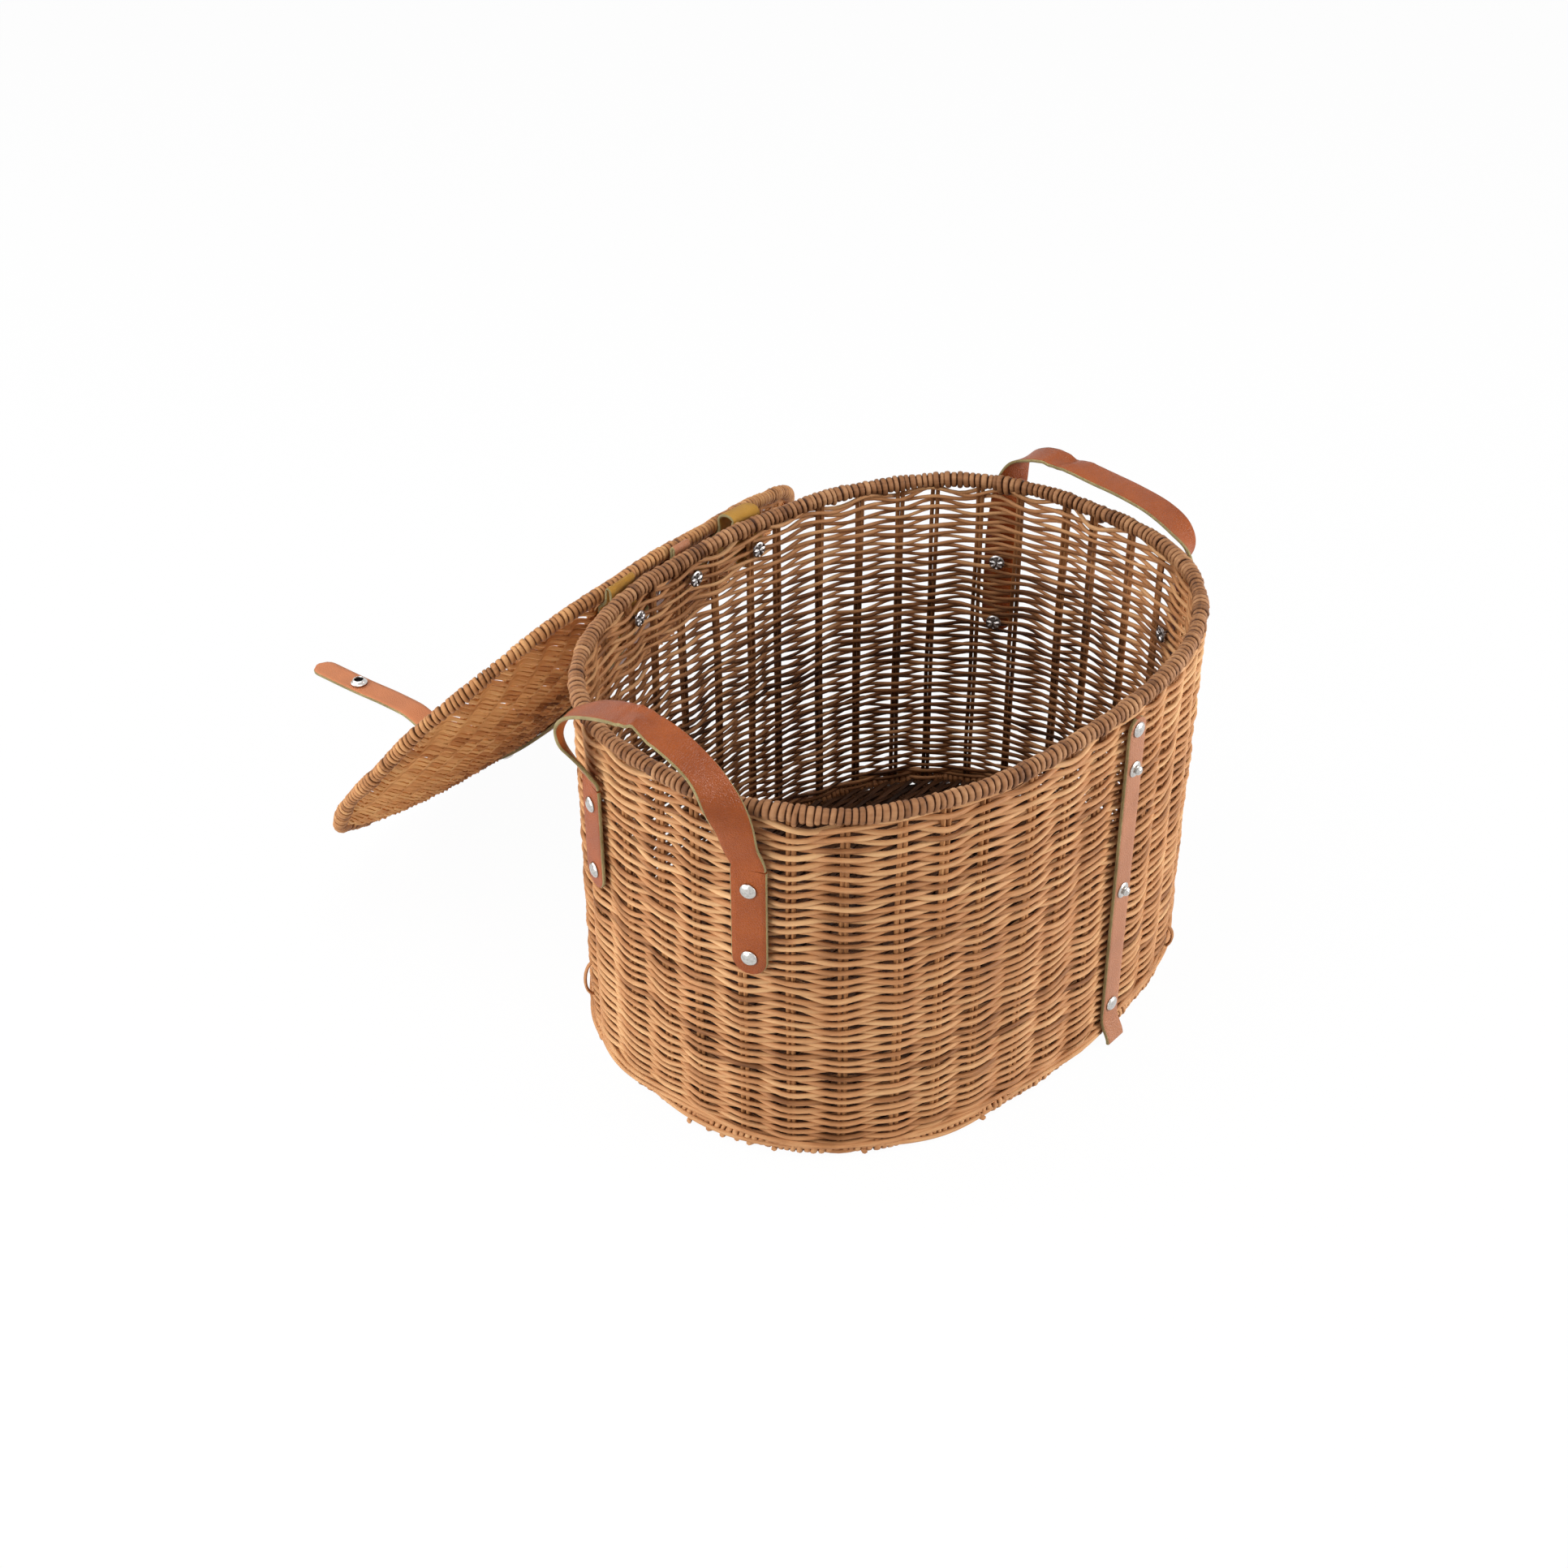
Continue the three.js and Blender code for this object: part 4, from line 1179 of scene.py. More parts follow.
@dataclass
class WovenPanel(Part):
    """A woven panel: long weavers along X in and out of pairs of stakes along Y.

    Attributes:
        domed: Whether it is the lid's mat, drawn on the shut lid and turned to the open one.
        puff: How far the weave swells at the stakes.
        painted_light_and_shade: How much paler the panel is at its left end than at its right.
        inset: How far inside the rim's line the panel ends.
    """

    name: str
    body: str
    cane_finish: Material
    pitch: float
    weaver_radius: float
    stake_radius: float
    stake_spacing: float
    swing: float
    seed: int
    domed: bool
    puff: float = 0.0
    # Painted light and shade on the lid's mat: paler at its left end, darker toward its right, where the basket
    # shades it.
    painted_light_and_shade: float = 0.0
    inset: float = 0.0015
    floor_height: float = 0.0038
    sheet: tuple[float, float] = (0.0034, 0.0028)
    sheet_inset: float = 0.006
    sheet_steps: int = 96
    drift: float = 0.0007
    sides: int = 5
    weaver_steps: int = 130
    stake_steps: int = 40

    def face(self, x: Array, y: Array) -> tuple[Array, Array]:
        """Gives the panel's middle surface and its outward direction.

        Args:
            x: Places along the basket.
            y: Places across the basket.

        Returns:
            Points and unit directions.
        """
        if not self.domed:
            flat = np.full_like(x, self.floor_height)
            return np.stack([x, y, flat], axis=-1), np.broadcast_to(UP, (*x.shape, 3))
        height = self.basket.dome_height(x, y) - self.basket.lid_thickness / 2
        return np.stack([x, y, height], axis=-1), self.basket.dome_normal(x, y)

    def cane(
        self, draft: Draft, x: Array, y: Array, offset: Array, radius: float, tone: Array | float
    ) -> None:
        """Adds one cane over the panel's face.

        Args:
            draft: Draft that it goes into.
            x: The cane's places along the basket.
            y: Its places across the basket.
            offset: Its distances off the face.
            radius: Its radius.
            tone: Its tone.
        """
        ground, facing = self.face(x, y)
        path = ground + offset[:, None] * facing
        if self.domed:
            path = self.basket.opened(path)
            facing = self.basket.opened_direction(facing)
        draft.tube(path, facing, radius, self.sides, False, tone)

    def draft(self) -> Draft:
        """Weaves the panel.

        Returns:
            The panel's draft.
        """
        random = np.random.default_rng(self.seed)
        draft = Draft()
        oval = self.basket.oval
        half = oval.half_width - self.inset
        rows = int(2 * half / self.pitch)
        for row in range(rows):
            y = -half + (row + 0.5) * 2 * half / rows
            reach = oval.reach_x(y, self.inset)
            x = np.linspace(-reach, reach, self.weaver_steps)
            drift = self.drift * np.sin(x * random.uniform(10, 40) + random.uniform(0, 6))
            beat = np.cos(math.pi * (x / self.stake_spacing + row))
            tone = np.clip(random.normal(0.5, 0.19), 0.08, 0.92)
            radius = self.weaver_radius * random.uniform(0.85, 1.12)
            quilt = self.puff * (1 - 2 * np.abs(np.sin(math.pi * x / self.stake_spacing)))
            # Painted light toward the left end and painted shade toward the right.
            faded = tone + self.painted_light_and_shade * (smoothstep(-x, 0.03, 0.15) - 0.5)
            self.cane(draft, x, y + drift, self.swing * beat + quilt, radius, faded)
        stakes = int(oval.half_length / self.stake_spacing)
        for stake in range(-stakes, stakes + 1):
            x = stake * self.stake_spacing
            reach = oval.reach_y(x, self.inset)
            y = np.linspace(-reach, reach, self.stake_steps)
            for side in (-1.1, 1.1):
                across = np.full_like(y, x + side * self.stake_radius)
                tone = np.clip(random.normal(0.5, 0.1), 0.1, 0.9)
                self.cane(draft, across, y, np.full_like(y, 0.3 * self.puff), self.stake_radius, tone)
        return draft

    def core(self) -> Draft:
        """Lays a thin sheet in the panel's middle, so that nothing shows through it.

        Returns:
            The sheet's draft.
        """
        draft = Draft()
        ground, out = self.basket.oval.walk(np.arange(self.sheet_steps) / self.sheet_steps)
        rim = ground - self.sheet_inset * out
        top, bottom = self.sheet
        rings = ((0.02, top), (1.0, top), (1.0, bottom), (0.02, bottom))
        draft.grid(np.stack([rim * scale + height * UP for scale, height in rings]), np.zeros(1), False)
        return draft

    def build(self) -> None:
        """Makes the panel."""
        piece = self.draft().build(f"{self.name}_weave", [self.cane_finish])
        settle(piece, self.body, Slot.RATTAN, self.name)
        if not self.domed:
            settle(self.core().build(f"{self.name}_core", [self.cane_finish]), self.body, Slot.RATTAN)


def round_end(width: float, count: int = 7) -> tuple[Array, Array]:
    """Gives distances from a round strap end and the width there.

    Args:
        width: Full width of the strap.
        count: How many distances.

    Returns:
        Distances from the end, and the widths at them.
    """
    turn = np.radians(np.linspace(14, 90, count))
    return width / 2 * (1 - np.cos(turn)), width * np.sin(turn)


def rounded(width: float, distance: Array, least: float) -> Array:
    """Gives a strap's width at distances from its round end, cut off at a least share of the radius."""
    nearest = np.clip(distance / (width / 2), least, 1.0)
    return width * np.sqrt(1 - (1 - nearest) ** 2)


@dataclass
class Leatherwork(Part):
    """A part cut from leather."""

    def cut(
        self,
        name: str,
        face: Material,
        centres: Array,
        across: Array,
        width: Array | float,
        thickness: float,
        bend: Array | None = None,
    ) -> Piece:
        """Cuts one strap with eased edges; its cut edges take the raw finish.

        Args:
            name: Name of the CAD node.
            face: Material of its faces.
            centres: Centre points along the strap.
            across: Width directions, one or one per point, squared to the run here.
            width: Width, one or one per point.
            thickness: Thickness of the leather.
            bend: Outward shift of the strap by station and column edge, if any.

        Returns:
            The new piece.
        """
        columns = 6 if bend is None else bend.shape[1] - 1
        along = unit(np.gradient(centres, axis=0))
        across = squared(across, along)
        facing = np.cross(along, across)
        ease = 0.22 * thickness
        half = np.broadcast_to(width, len(centres)) / 2
        step = np.linspace(-1.0, 1.0, columns + 1)
        top = [(s, 1.0, -ease) for s in step]
        bottom = [(s, -1.0, -ease) for s in step[::-1]]
        right = [(1.0, 0.5, 0.0), (1.0, -0.5, 0.0)]
        left = [(-1.0, -0.5, 0.0), (-1.0, 0.5, 0.0)]
        outline = np.array([*top, *right, *bottom, *left])
        sideways = outline[:, 0] * np.maximum(half[:, None] + outline[:, 2], 0.1 * ease)
        lift = np.broadcast_to(outline[:, 1] * thickness / 2, sideways.shape)
        if bend is not None:
            column = np.clip((outline[:, 0] + 1) / 2 * columns, 0, columns)
            lift = lift + np.array([np.interp(column, np.arange(columns + 1), row) for row in bend])
        points = centres[:, None] + sideways[..., None] * across[:, None] + lift[..., None] * facing[:, None]
        stations, sides = points.shape[:2]
        draft = Draft()
        start = draft.take(points, np.zeros(1))
        i = np.arange(stations - 1)[:, None]
        k = np.arange(sides)[None, :]
        m = (k + 1) % sides
        quads = np.stack([i * sides + k, (i + 1) * sides + k, (i + 1) * sides + m, i * sides + m], axis=-1)
        run = measured(centres)
        u = np.broadcast_to(np.stack([run[i], run[i + 1], run[i + 1], run[i]], axis=-1), quads.shape)
        v = np.stack([sideways[i, k], sideways[i + 1, k], sideways[i + 1, m], sideways[i, m]], axis=-1)
        edge = np.zeros(sides, dtype=int)
        edge[columns : columns + 3] = 1
        edge[sides - 3 :] = 1
        kind = np.broadcast_to(edge, quads.shape[:2]).reshape(-1)
        draft.put(start + quads.reshape(-1, 4), np.stack([u, v], axis=-1), kind)
        last = start + (stations - 1) * sides
        caps = np.array([np.arange(start, start + sides), np.arange(last + sides - 1, last - 1, -1)])
        draft.put(caps, np.zeros((2, sides, 2)))
        return draft.build(f"{name}_leather", [face, self.finishes.raw_edge])


@dataclass
class FrontStrap(Leatherwork):
    """The closure's strap down the front wall."""

    width: float = 0.0165
    x: float = 0.03
    drop: float = 0.0005
    foot: float = 0.001
    flare: float = 0.0045
    base_ring_radius: float = 0.005
    straight_start: float = 0.02

    def build(self) -> None:
        """Makes the strap from its round top to its foot over the base ring."""
        basket = self.basket
        place = basket.oval.on_side(self.x, Side.NEGATIVE)
        seat = basket.seat(basket.strap_thickness)
        flat = basket.wall_face + seat
        ring = basket.facet_reach(self.base_ring_radius) + seat
        top = basket.rim_height - basket.rim_radius - basket.seat_gap - self.drop
        distance, width = round_end(self.width)
        knee = 4 * self.base_ring_radius
        straight = np.linspace(top - self.straight_start, knee, 24)
        levels = np.concatenate([top - distance, straight, np.linspace(knee, self.foot, 10)[1:]])
        bulge = smoothstep(-levels, -knee, -1.2 * self.base_ring_radius)
        offsets = flat + (ring - flat) * bulge + self.flare * smoothstep(-levels, -knee, -self.foot) ** 2
        widths = np.concatenate([width, np.full(len(levels) - len(width), self.width)])
        centres = np.array([place.at(offset, level) for offset, level in zip(offsets, levels)])
        leather = self.finishes.pale_leather
        piece = self.cut("front_strap", leather, centres, place.sideways, widths, basket.strap_thickness)
        settle(piece, "basket", Slot.LEATHER, "front_strap")


LEFT_RUN = (
    (-0.064, 0.0052, 0.2083),
    (-0.0638, 0.0053, 0.2112),
    (-0.063, 0.0062, 0.2150),
    (-0.061, 0.0085, 0.2230),
    (-0.059, 0.0125, 0.2400),
    (-0.0545, 0.0165, 0.2580),
    (-0.047, 0.0177, 0.2735),
    (-0.034, 0.0177, 0.2840),
    (-0.020, 0.0177, 0.2888),
    (-0.004, 0.0177, 0.2895),
    (0.018, 0.0180, 0.2835),
    (0.039, 0.0185, 0.2715),
    (0.0515, 0.0195, 0.2580),
    (0.0575, 0.0195, 0.2430),
    (0.0585, 0.0155, 0.2300),
    (0.0565, 0.0090, 0.2180),
    (0.0543, 0.0054, 0.2112),
    (0.054, 0.0052, 0.2083),
)
RIGHT_RUN = (
    (-0.070, 0.0052, 0.2033),
    (-0.0699, 0.0054, 0.2062),
    (-0.0695, 0.0075, 0.2140),
    (-0.067, 0.0110, 0.2280),
    (-0.061, 0.0148, 0.2410),
    (-0.050, 0.0170, 0.2495),
    (-0.034, 0.0175, 0.2545),
    (-0.011, 0.0175, 0.2575),
    (0.014, 0.0175, 0.2595),
    (0.034, 0.0175, 0.2620),
    (0.052, 0.0175, 0.2627),
    (0.0628, 0.0170, 0.2562),
    (0.0675, 0.0140, 0.2405),
    (0.0692, 0.0090, 0.2220),
    (0.0699, 0.0054, 0.2062),
    (0.070, 0.0052, 0.2033),
)


@dataclass
class Handle(Leatherwork):
    """One carrying handle: a leather loop and its two riveted tabs.

    Attributes:
        run: Places that the loop's middle line passes through, as y, distance out from the rim and height.
        flat_twist: Turn in degrees from flat on the wall to the loop's top.
        crease: Where along the loop it is creased, as a share, and how deep.
        crease_lean: How far the crease runs along the loop from its middle to its edge.
        crease_reach: How far the crease reaches, as a share of the loop.
        ripple_reach: How far the ripples beside the crease reach.
        ripple_rate: How close the ripples are.
    """

    hand: str
    side: Side
    run: tuple[Triple, ...]
    flat_twist: float
    crease: tuple[float, float]
    width: float = 0.0215
    tab_length: float = 0.073
    tab_round: float = 0.014
    tab_steps: int = 14
    fold_gap: float = 0.00005
    columns: int = 8
    steps: int = 120
    cup: float = 0.0005
    crease_lean: float = 0.02
    crease_reach: float = 0.022
    ripple_reach: float = 0.06
    ripple_rate: float = 190.0

    def tab(self, end: str, y: float, fold: float) -> None:
        """Makes one tab on the wall below its fold.

        Args:
            end: Which end of the handle.
            y: Where across the basket.
            fold: Height of the fold.
        """
        basket = self.basket
        place = basket.oval.on_end(y, self.side)
        out = basket.wall_face + basket.seat(basket.strap_thickness)
        distance, width = round_end(self.width)
        foot = fold - self.tab_length
        straight = np.linspace(foot + self.tab_round, fold - self.fold_gap, self.tab_steps)
        levels = np.concatenate([foot + distance, straight])
        widths = np.concatenate([width, np.full(self.tab_steps, self.width)])
        centres = np.array([place.at(out, level) for level in levels])
        name = f"{self.hand}_tab_{end}"
        leather = self.finishes.leather
        piece = self.cut(name, leather, centres, place.sideways, widths, basket.strap_thickness)
        settle(piece, "basket", Slot.LEATHER, name)

    def wrinkles(self, share: Array) -> Array:
        """Gives the shift of each column of the loop, from its crease and a soft unevenness.

        Args:
            share: Shares of the way along the loop.

        Returns:
            Shifts by station and column edge.
        """
        across = np.linspace(-1, 1, self.columns + 1)
        where, depth = self.crease
        behind = share[:, None] - where - self.crease_lean * across
        fold = np.exp(-((behind / self.crease_reach) ** 2)) * (0.3 + 0.7 * smoothstep(-across, -0.7, 0.5))
        wave = np.sin(self.ripple_rate * behind + 2.5 * across)
        ripples = np.exp(-((behind / self.ripple_reach) ** 2)) * wave
        cup = self.cup * (across**2) * np.sin(9 * share[:, None])
        return -depth * fold + 0.1 * depth * ripples + cup

    def loop(self) -> None:
        """Makes the loop, flat on the wall at its ends and lying flat on top."""
        oval = self.basket.oval
        knots = [oval.on_end(y, self.side).at(out, height) for y, out, height in self.run]
        centres = spline(np.array(knots), self.steps + 1)
        share = np.arange(self.steps + 1) / self.steps
        rise = 1 - np.abs(2 * share - 1)
        twist = math.radians(self.flat_twist) * smoothstep(rise, 0.1, 0.66)
        across = []
        low, high = self.run[0][0], self.run[-1][0]
        for point, turn, at in zip(centres, twist, share):
            sign = -1 if at < 0.5 else 1
            place = oval.on_end(float(np.clip(point[1], low, high)), self.side)
            flat = place.sideways * sign * np.sign(place.sideways[1])
            across.append(flat * math.cos(turn) - place.out * math.sin(turn))
        neck = 1 - 0.05 * np.exp(-((rise / 0.05) ** 2))
        bend = self.wrinkles(share) * smoothstep(rise, 0.02, 0.15)[:, None]
        name = f"{self.hand}_handle"
        leather = self.finishes.leather
        thickness = self.basket.strap_thickness
        piece = self.cut(name, leather, centres, np.array(across), self.width * neck, thickness, bend)
        settle(piece, name, Slot.LEATHER, name)

    def build(self) -> None:
        """Makes both tabs and the loop."""
        for end, (y, _, fold) in (("front", self.run[0]), ("back", self.run[-1])):
            self.tab(end, y, fold)
        self.loop()


@dataclass
class Hinge(Leatherwork):
    """A leather hinge from the back wall over both rims to the lid."""

    name: str
    x: float
    width: float
    napped: bool
    wall_leg: float
    thickness: float = 0.002
    lid_leg: float = 0.036
    bend_start: float = 0.007
    bend_end: float = 0.0125
    steps: int = 90

    def place(self) -> Place:
        """Gives the hinge's place on the back wall."""
        return self.basket.oval.on_side(self.x, Side.POSITIVE)

    def path(self) -> tuple[Array, Array]:
        """Runs the strap's middle line from the wall to the lid.

        Returns:
            Points along the strap and its width directions.
        """
        basket = self.basket
        place = self.place()
        seat = basket.seat(self.thickness)
        rim_out = basket.facet_reach(basket.rim_radius) + seat
        wall_out = basket.wall_face + seat
        ring_reach = basket.facet_reach(basket.lid_ring_radius) + seat
        rim = basket.rim_height
        radius = basket.rim_radius
        wall_top = rim - radius - basket.seat_gap
        lid_ring = basket.lid_ring_height

        def on_ring(degrees: float) -> Array:
            """Gives a point round the lid's ring, on the open lid."""
            along, up = (ring_reach * part(math.radians(degrees)) for part in (math.cos, math.sin))
            return basket.opened(place.at(along, lid_ring + up))

        def on_lid(distance: float) -> Array:
            """Gives a point over the lid's outer face, on the open lid."""
            flat = place.at(-distance, 0.0)
            return basket.opened(basket.on_dome(flat[0], flat[1], seat))

        lid_side = on_ring(48)
        wall_side = place.at(rim_out, rim + 0.6 * radius)
        crown = (wall_side + lid_side) / 2
        crown[2] = max(wall_side[2], lid_side[2]) + 0.6 * radius
        lean = np.array([0.15, 0.15, 0.7])
        knots = [
            place.at(wall_out, rim - self.wall_leg),
            place.at(wall_out, wall_top - 0.9 * radius),
            place.at(wall_out + 0.5 * (rim_out - wall_out), wall_top + 0.1 * radius),
            place.at(rim_out, rim - 0.3 * radius),
            wall_side,
            wall_side + lean * (crown - wall_side),
            crown,
            lid_side + lean * (crown - lid_side),
            lid_side,
            on_ring(72),
            on_ring(96),
            *[on_lid(share * basket.lid_ring_radius) for share in (1.7, 2.4, 3.4, 5)],
            on_lid(self.lid_leg),
        ]
        centres = spline(np.array(knots), self.steps)
        lid_across = basket.opened_direction(place.sideways)
        share = smoothstep(np.linspace(0, 1, len(centres)), 0.3, 0.6)[:, None]
        return centres, place.sideways * (1 - share) + lid_across * share

    def build(self) -> None:
        """Makes the hinge in place of its CAD node."""
        centres, across = self.path()
        widths = rounded(self.width, measured(centres), 0.03)
        face = self.finishes.suede if self.napped else self.finishes.pale_leather
        piece = self.cut(self.name, face, centres, across, widths, self.thickness)
        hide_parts(self.name)
        start = self.place().at(self.bend_start, self.basket.rim_height)
        end = self.place().at(self.bend_end, self.basket.rim_height)
        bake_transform(piece)
        LOG.info("%s bends between basket and lid", piece.name)


@dataclass
class Closure(Leatherwork):
    """The strap across the lid and the tongue that ends it.

    Attributes:
        ring_ease: How far the strap stands off the lid's ring.
        tail: Length of the tongue beyond its socket.
        tongue_drop: How far the tongue lies below the fold's axis, and how much further at its socket.
        stud_room: How far the tongue bows out over the top rivet and the upper stud.
        stud_span: Where along the tongue that bow starts, is full, begins to fall and ends.
        bows: Shares of the way to the socket and the sideways shift of the tongue there.
    """

    width: float = 0.0165
    hinge_x: float = -0.023
    root_x: float = 0.012
    lid_leg: float = 0.036
    hinge_thickness: float = 0.002
    ring_ease: float = 0.0013
    root_gap: float = 0.0006
    tail: float = 0.046
    tongue_width: float = 0.0195
    tongue_steps: int = 60
    tongue_drop: tuple[float, float] = (0.0008, 0.0006)
    stud_room: float = 0.0029
    stud_span: tuple[float, ...] = (0.004, 0.02, 0.064, 0.086)
    tip_shift: float = -0.006
    bows: tuple[tuple[float, float], ...] = ((0.25, 0.0045), (0.5, 0.008), (0.75, 0.0055))

    def lid_strap(self) -> None:
        """Makes the strap from the middle hinge to the lid's front edge."""
        basket = self.basket
        seat = basket.seat(basket.strap_thickness)
        back = basket.oval.on_side(self.hinge_x, Side.POSITIVE)
        start = back.at(-self.lid_leg - basket.seat_gap - self.hinge_thickness, 0.0)
        front = basket.oval.on_side(self.root_x, Side.NEGATIVE)
        finish = front.at(-1.8 * basket.lid_ring_radius, 0.0)
        shut = []
        for share in np.sin(np.linspace(0, math.pi / 2, 40)):
            flat = start + share * (finish - start)
            shut.append(basket.on_dome(flat[0], flat[1], seat + self.ring_ease * share))
        reach = basket.facet_reach(basket.lid_ring_radius) + seat
        for degrees in (92, 79, 66, 53, 40, 30, 20, 8):
            turn = math.radians(degrees)
            eased = reach + self.ring_ease * math.sin(turn)
            shut.append(front.at(eased * math.cos(turn), basket.lid_ring_height + eased * math.sin(turn)))
        across = basket.opened_direction(unit(np.cross(finish - start, UP)))
        centres = basket.opened(np.array(shut))
        leather = self.finishes.pale_leather
        piece = self.cut("lid_strap", leather, centres, across, self.width, basket.strap_thickness)
        settle(piece, "lid", Slot.LEATHER, "lid_strap")

    def tongue(self) -> None:
        """Makes the tongue from its root to its socket and tip, lying on the floor in a gentle curve."""
        root = np.array(self.basket.joints["tongue_fold"]["pos_m"])
        low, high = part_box("snap_socket")
        socket = np.array((low + high) / 2)
        socket[2] = root[2]
        along = unit(socket - root)
        aside = np.cross(along, UP)
        length = float(np.linalg.norm(socket - root))
        bows = [root + share * length * along + shift * aside for share, shift in self.bows]
        tip = root + (length + self.tail) * along + self.tip_shift * aside
        centres = spline(np.array([root + self.root_gap * along, *bows, socket, tip]), self.tongue_steps)
        run = measured(centres)
        widths = rounded(self.tongue_width, run[-1] - run, 0.02)
        rise, full, fall, end = self.stud_span
        over_stud = smoothstep(run, rise, full) * (1 - smoothstep(run, fall, end))
        root_drop, socket_drop = self.tongue_drop
        drop = root_drop + socket_drop * smoothstep(run, 0.5 * length, length)
        centres[:, 2] -= drop + self.stud_room * over_stud
        leather = self.finishes.tongue_leather
        across = np.cross(UP, along)
        piece = self.cut("tongue", leather, centres, across, widths, self.basket.strap_thickness)
        settle(piece, "tongue", Slot.LEATHER, "tongue")

    def build(self) -> None:
        """Makes the strap and the tongue."""
        self.lid_strap()
        self.tongue()


def turned(name: str, profile: list[tuple[float, float]], steps: int, material: Material) -> Piece:
    """Turns a profile about Z in edit mode.

    Args:
        name: Name of the piece.
        profile: Radii and heights from one end of the axis to the other.
        steps: Facets round the piece.
        material: Its material.

    Returns:
        The turned object, at the origin.
    """
    mesh = bpy.data.meshes.new(name)
    rows = [(radius, 0.0, height) for radius, height in profile]
    mesh.from_pydata(rows, [(i, i + 1) for i in range(len(rows) - 1)], [])
    mesh.materials.append(material)
    piece = linked(name, mesh)
    alone(piece)
    bpy.ops.object.mode_set(mode="EDIT")
    bpy.ops.mesh.select_all(action="SELECT")
    bpy.ops.mesh.spin(steps=steps, angle=2 * math.pi, center=(0, 0, 0), axis=(0, 0, 1))
    bpy.ops.mesh.select_all(action="SELECT")
    bpy.ops.mesh.remove_doubles(threshold=1e-6)
    bpy.ops.mesh.normals_make_consistent(inside=False)
    bpy.ops.object.mode_set(mode="OBJECT")
    bpy.ops.object.shade_smooth_by_angle(angle=math.radians(40))
    return piece


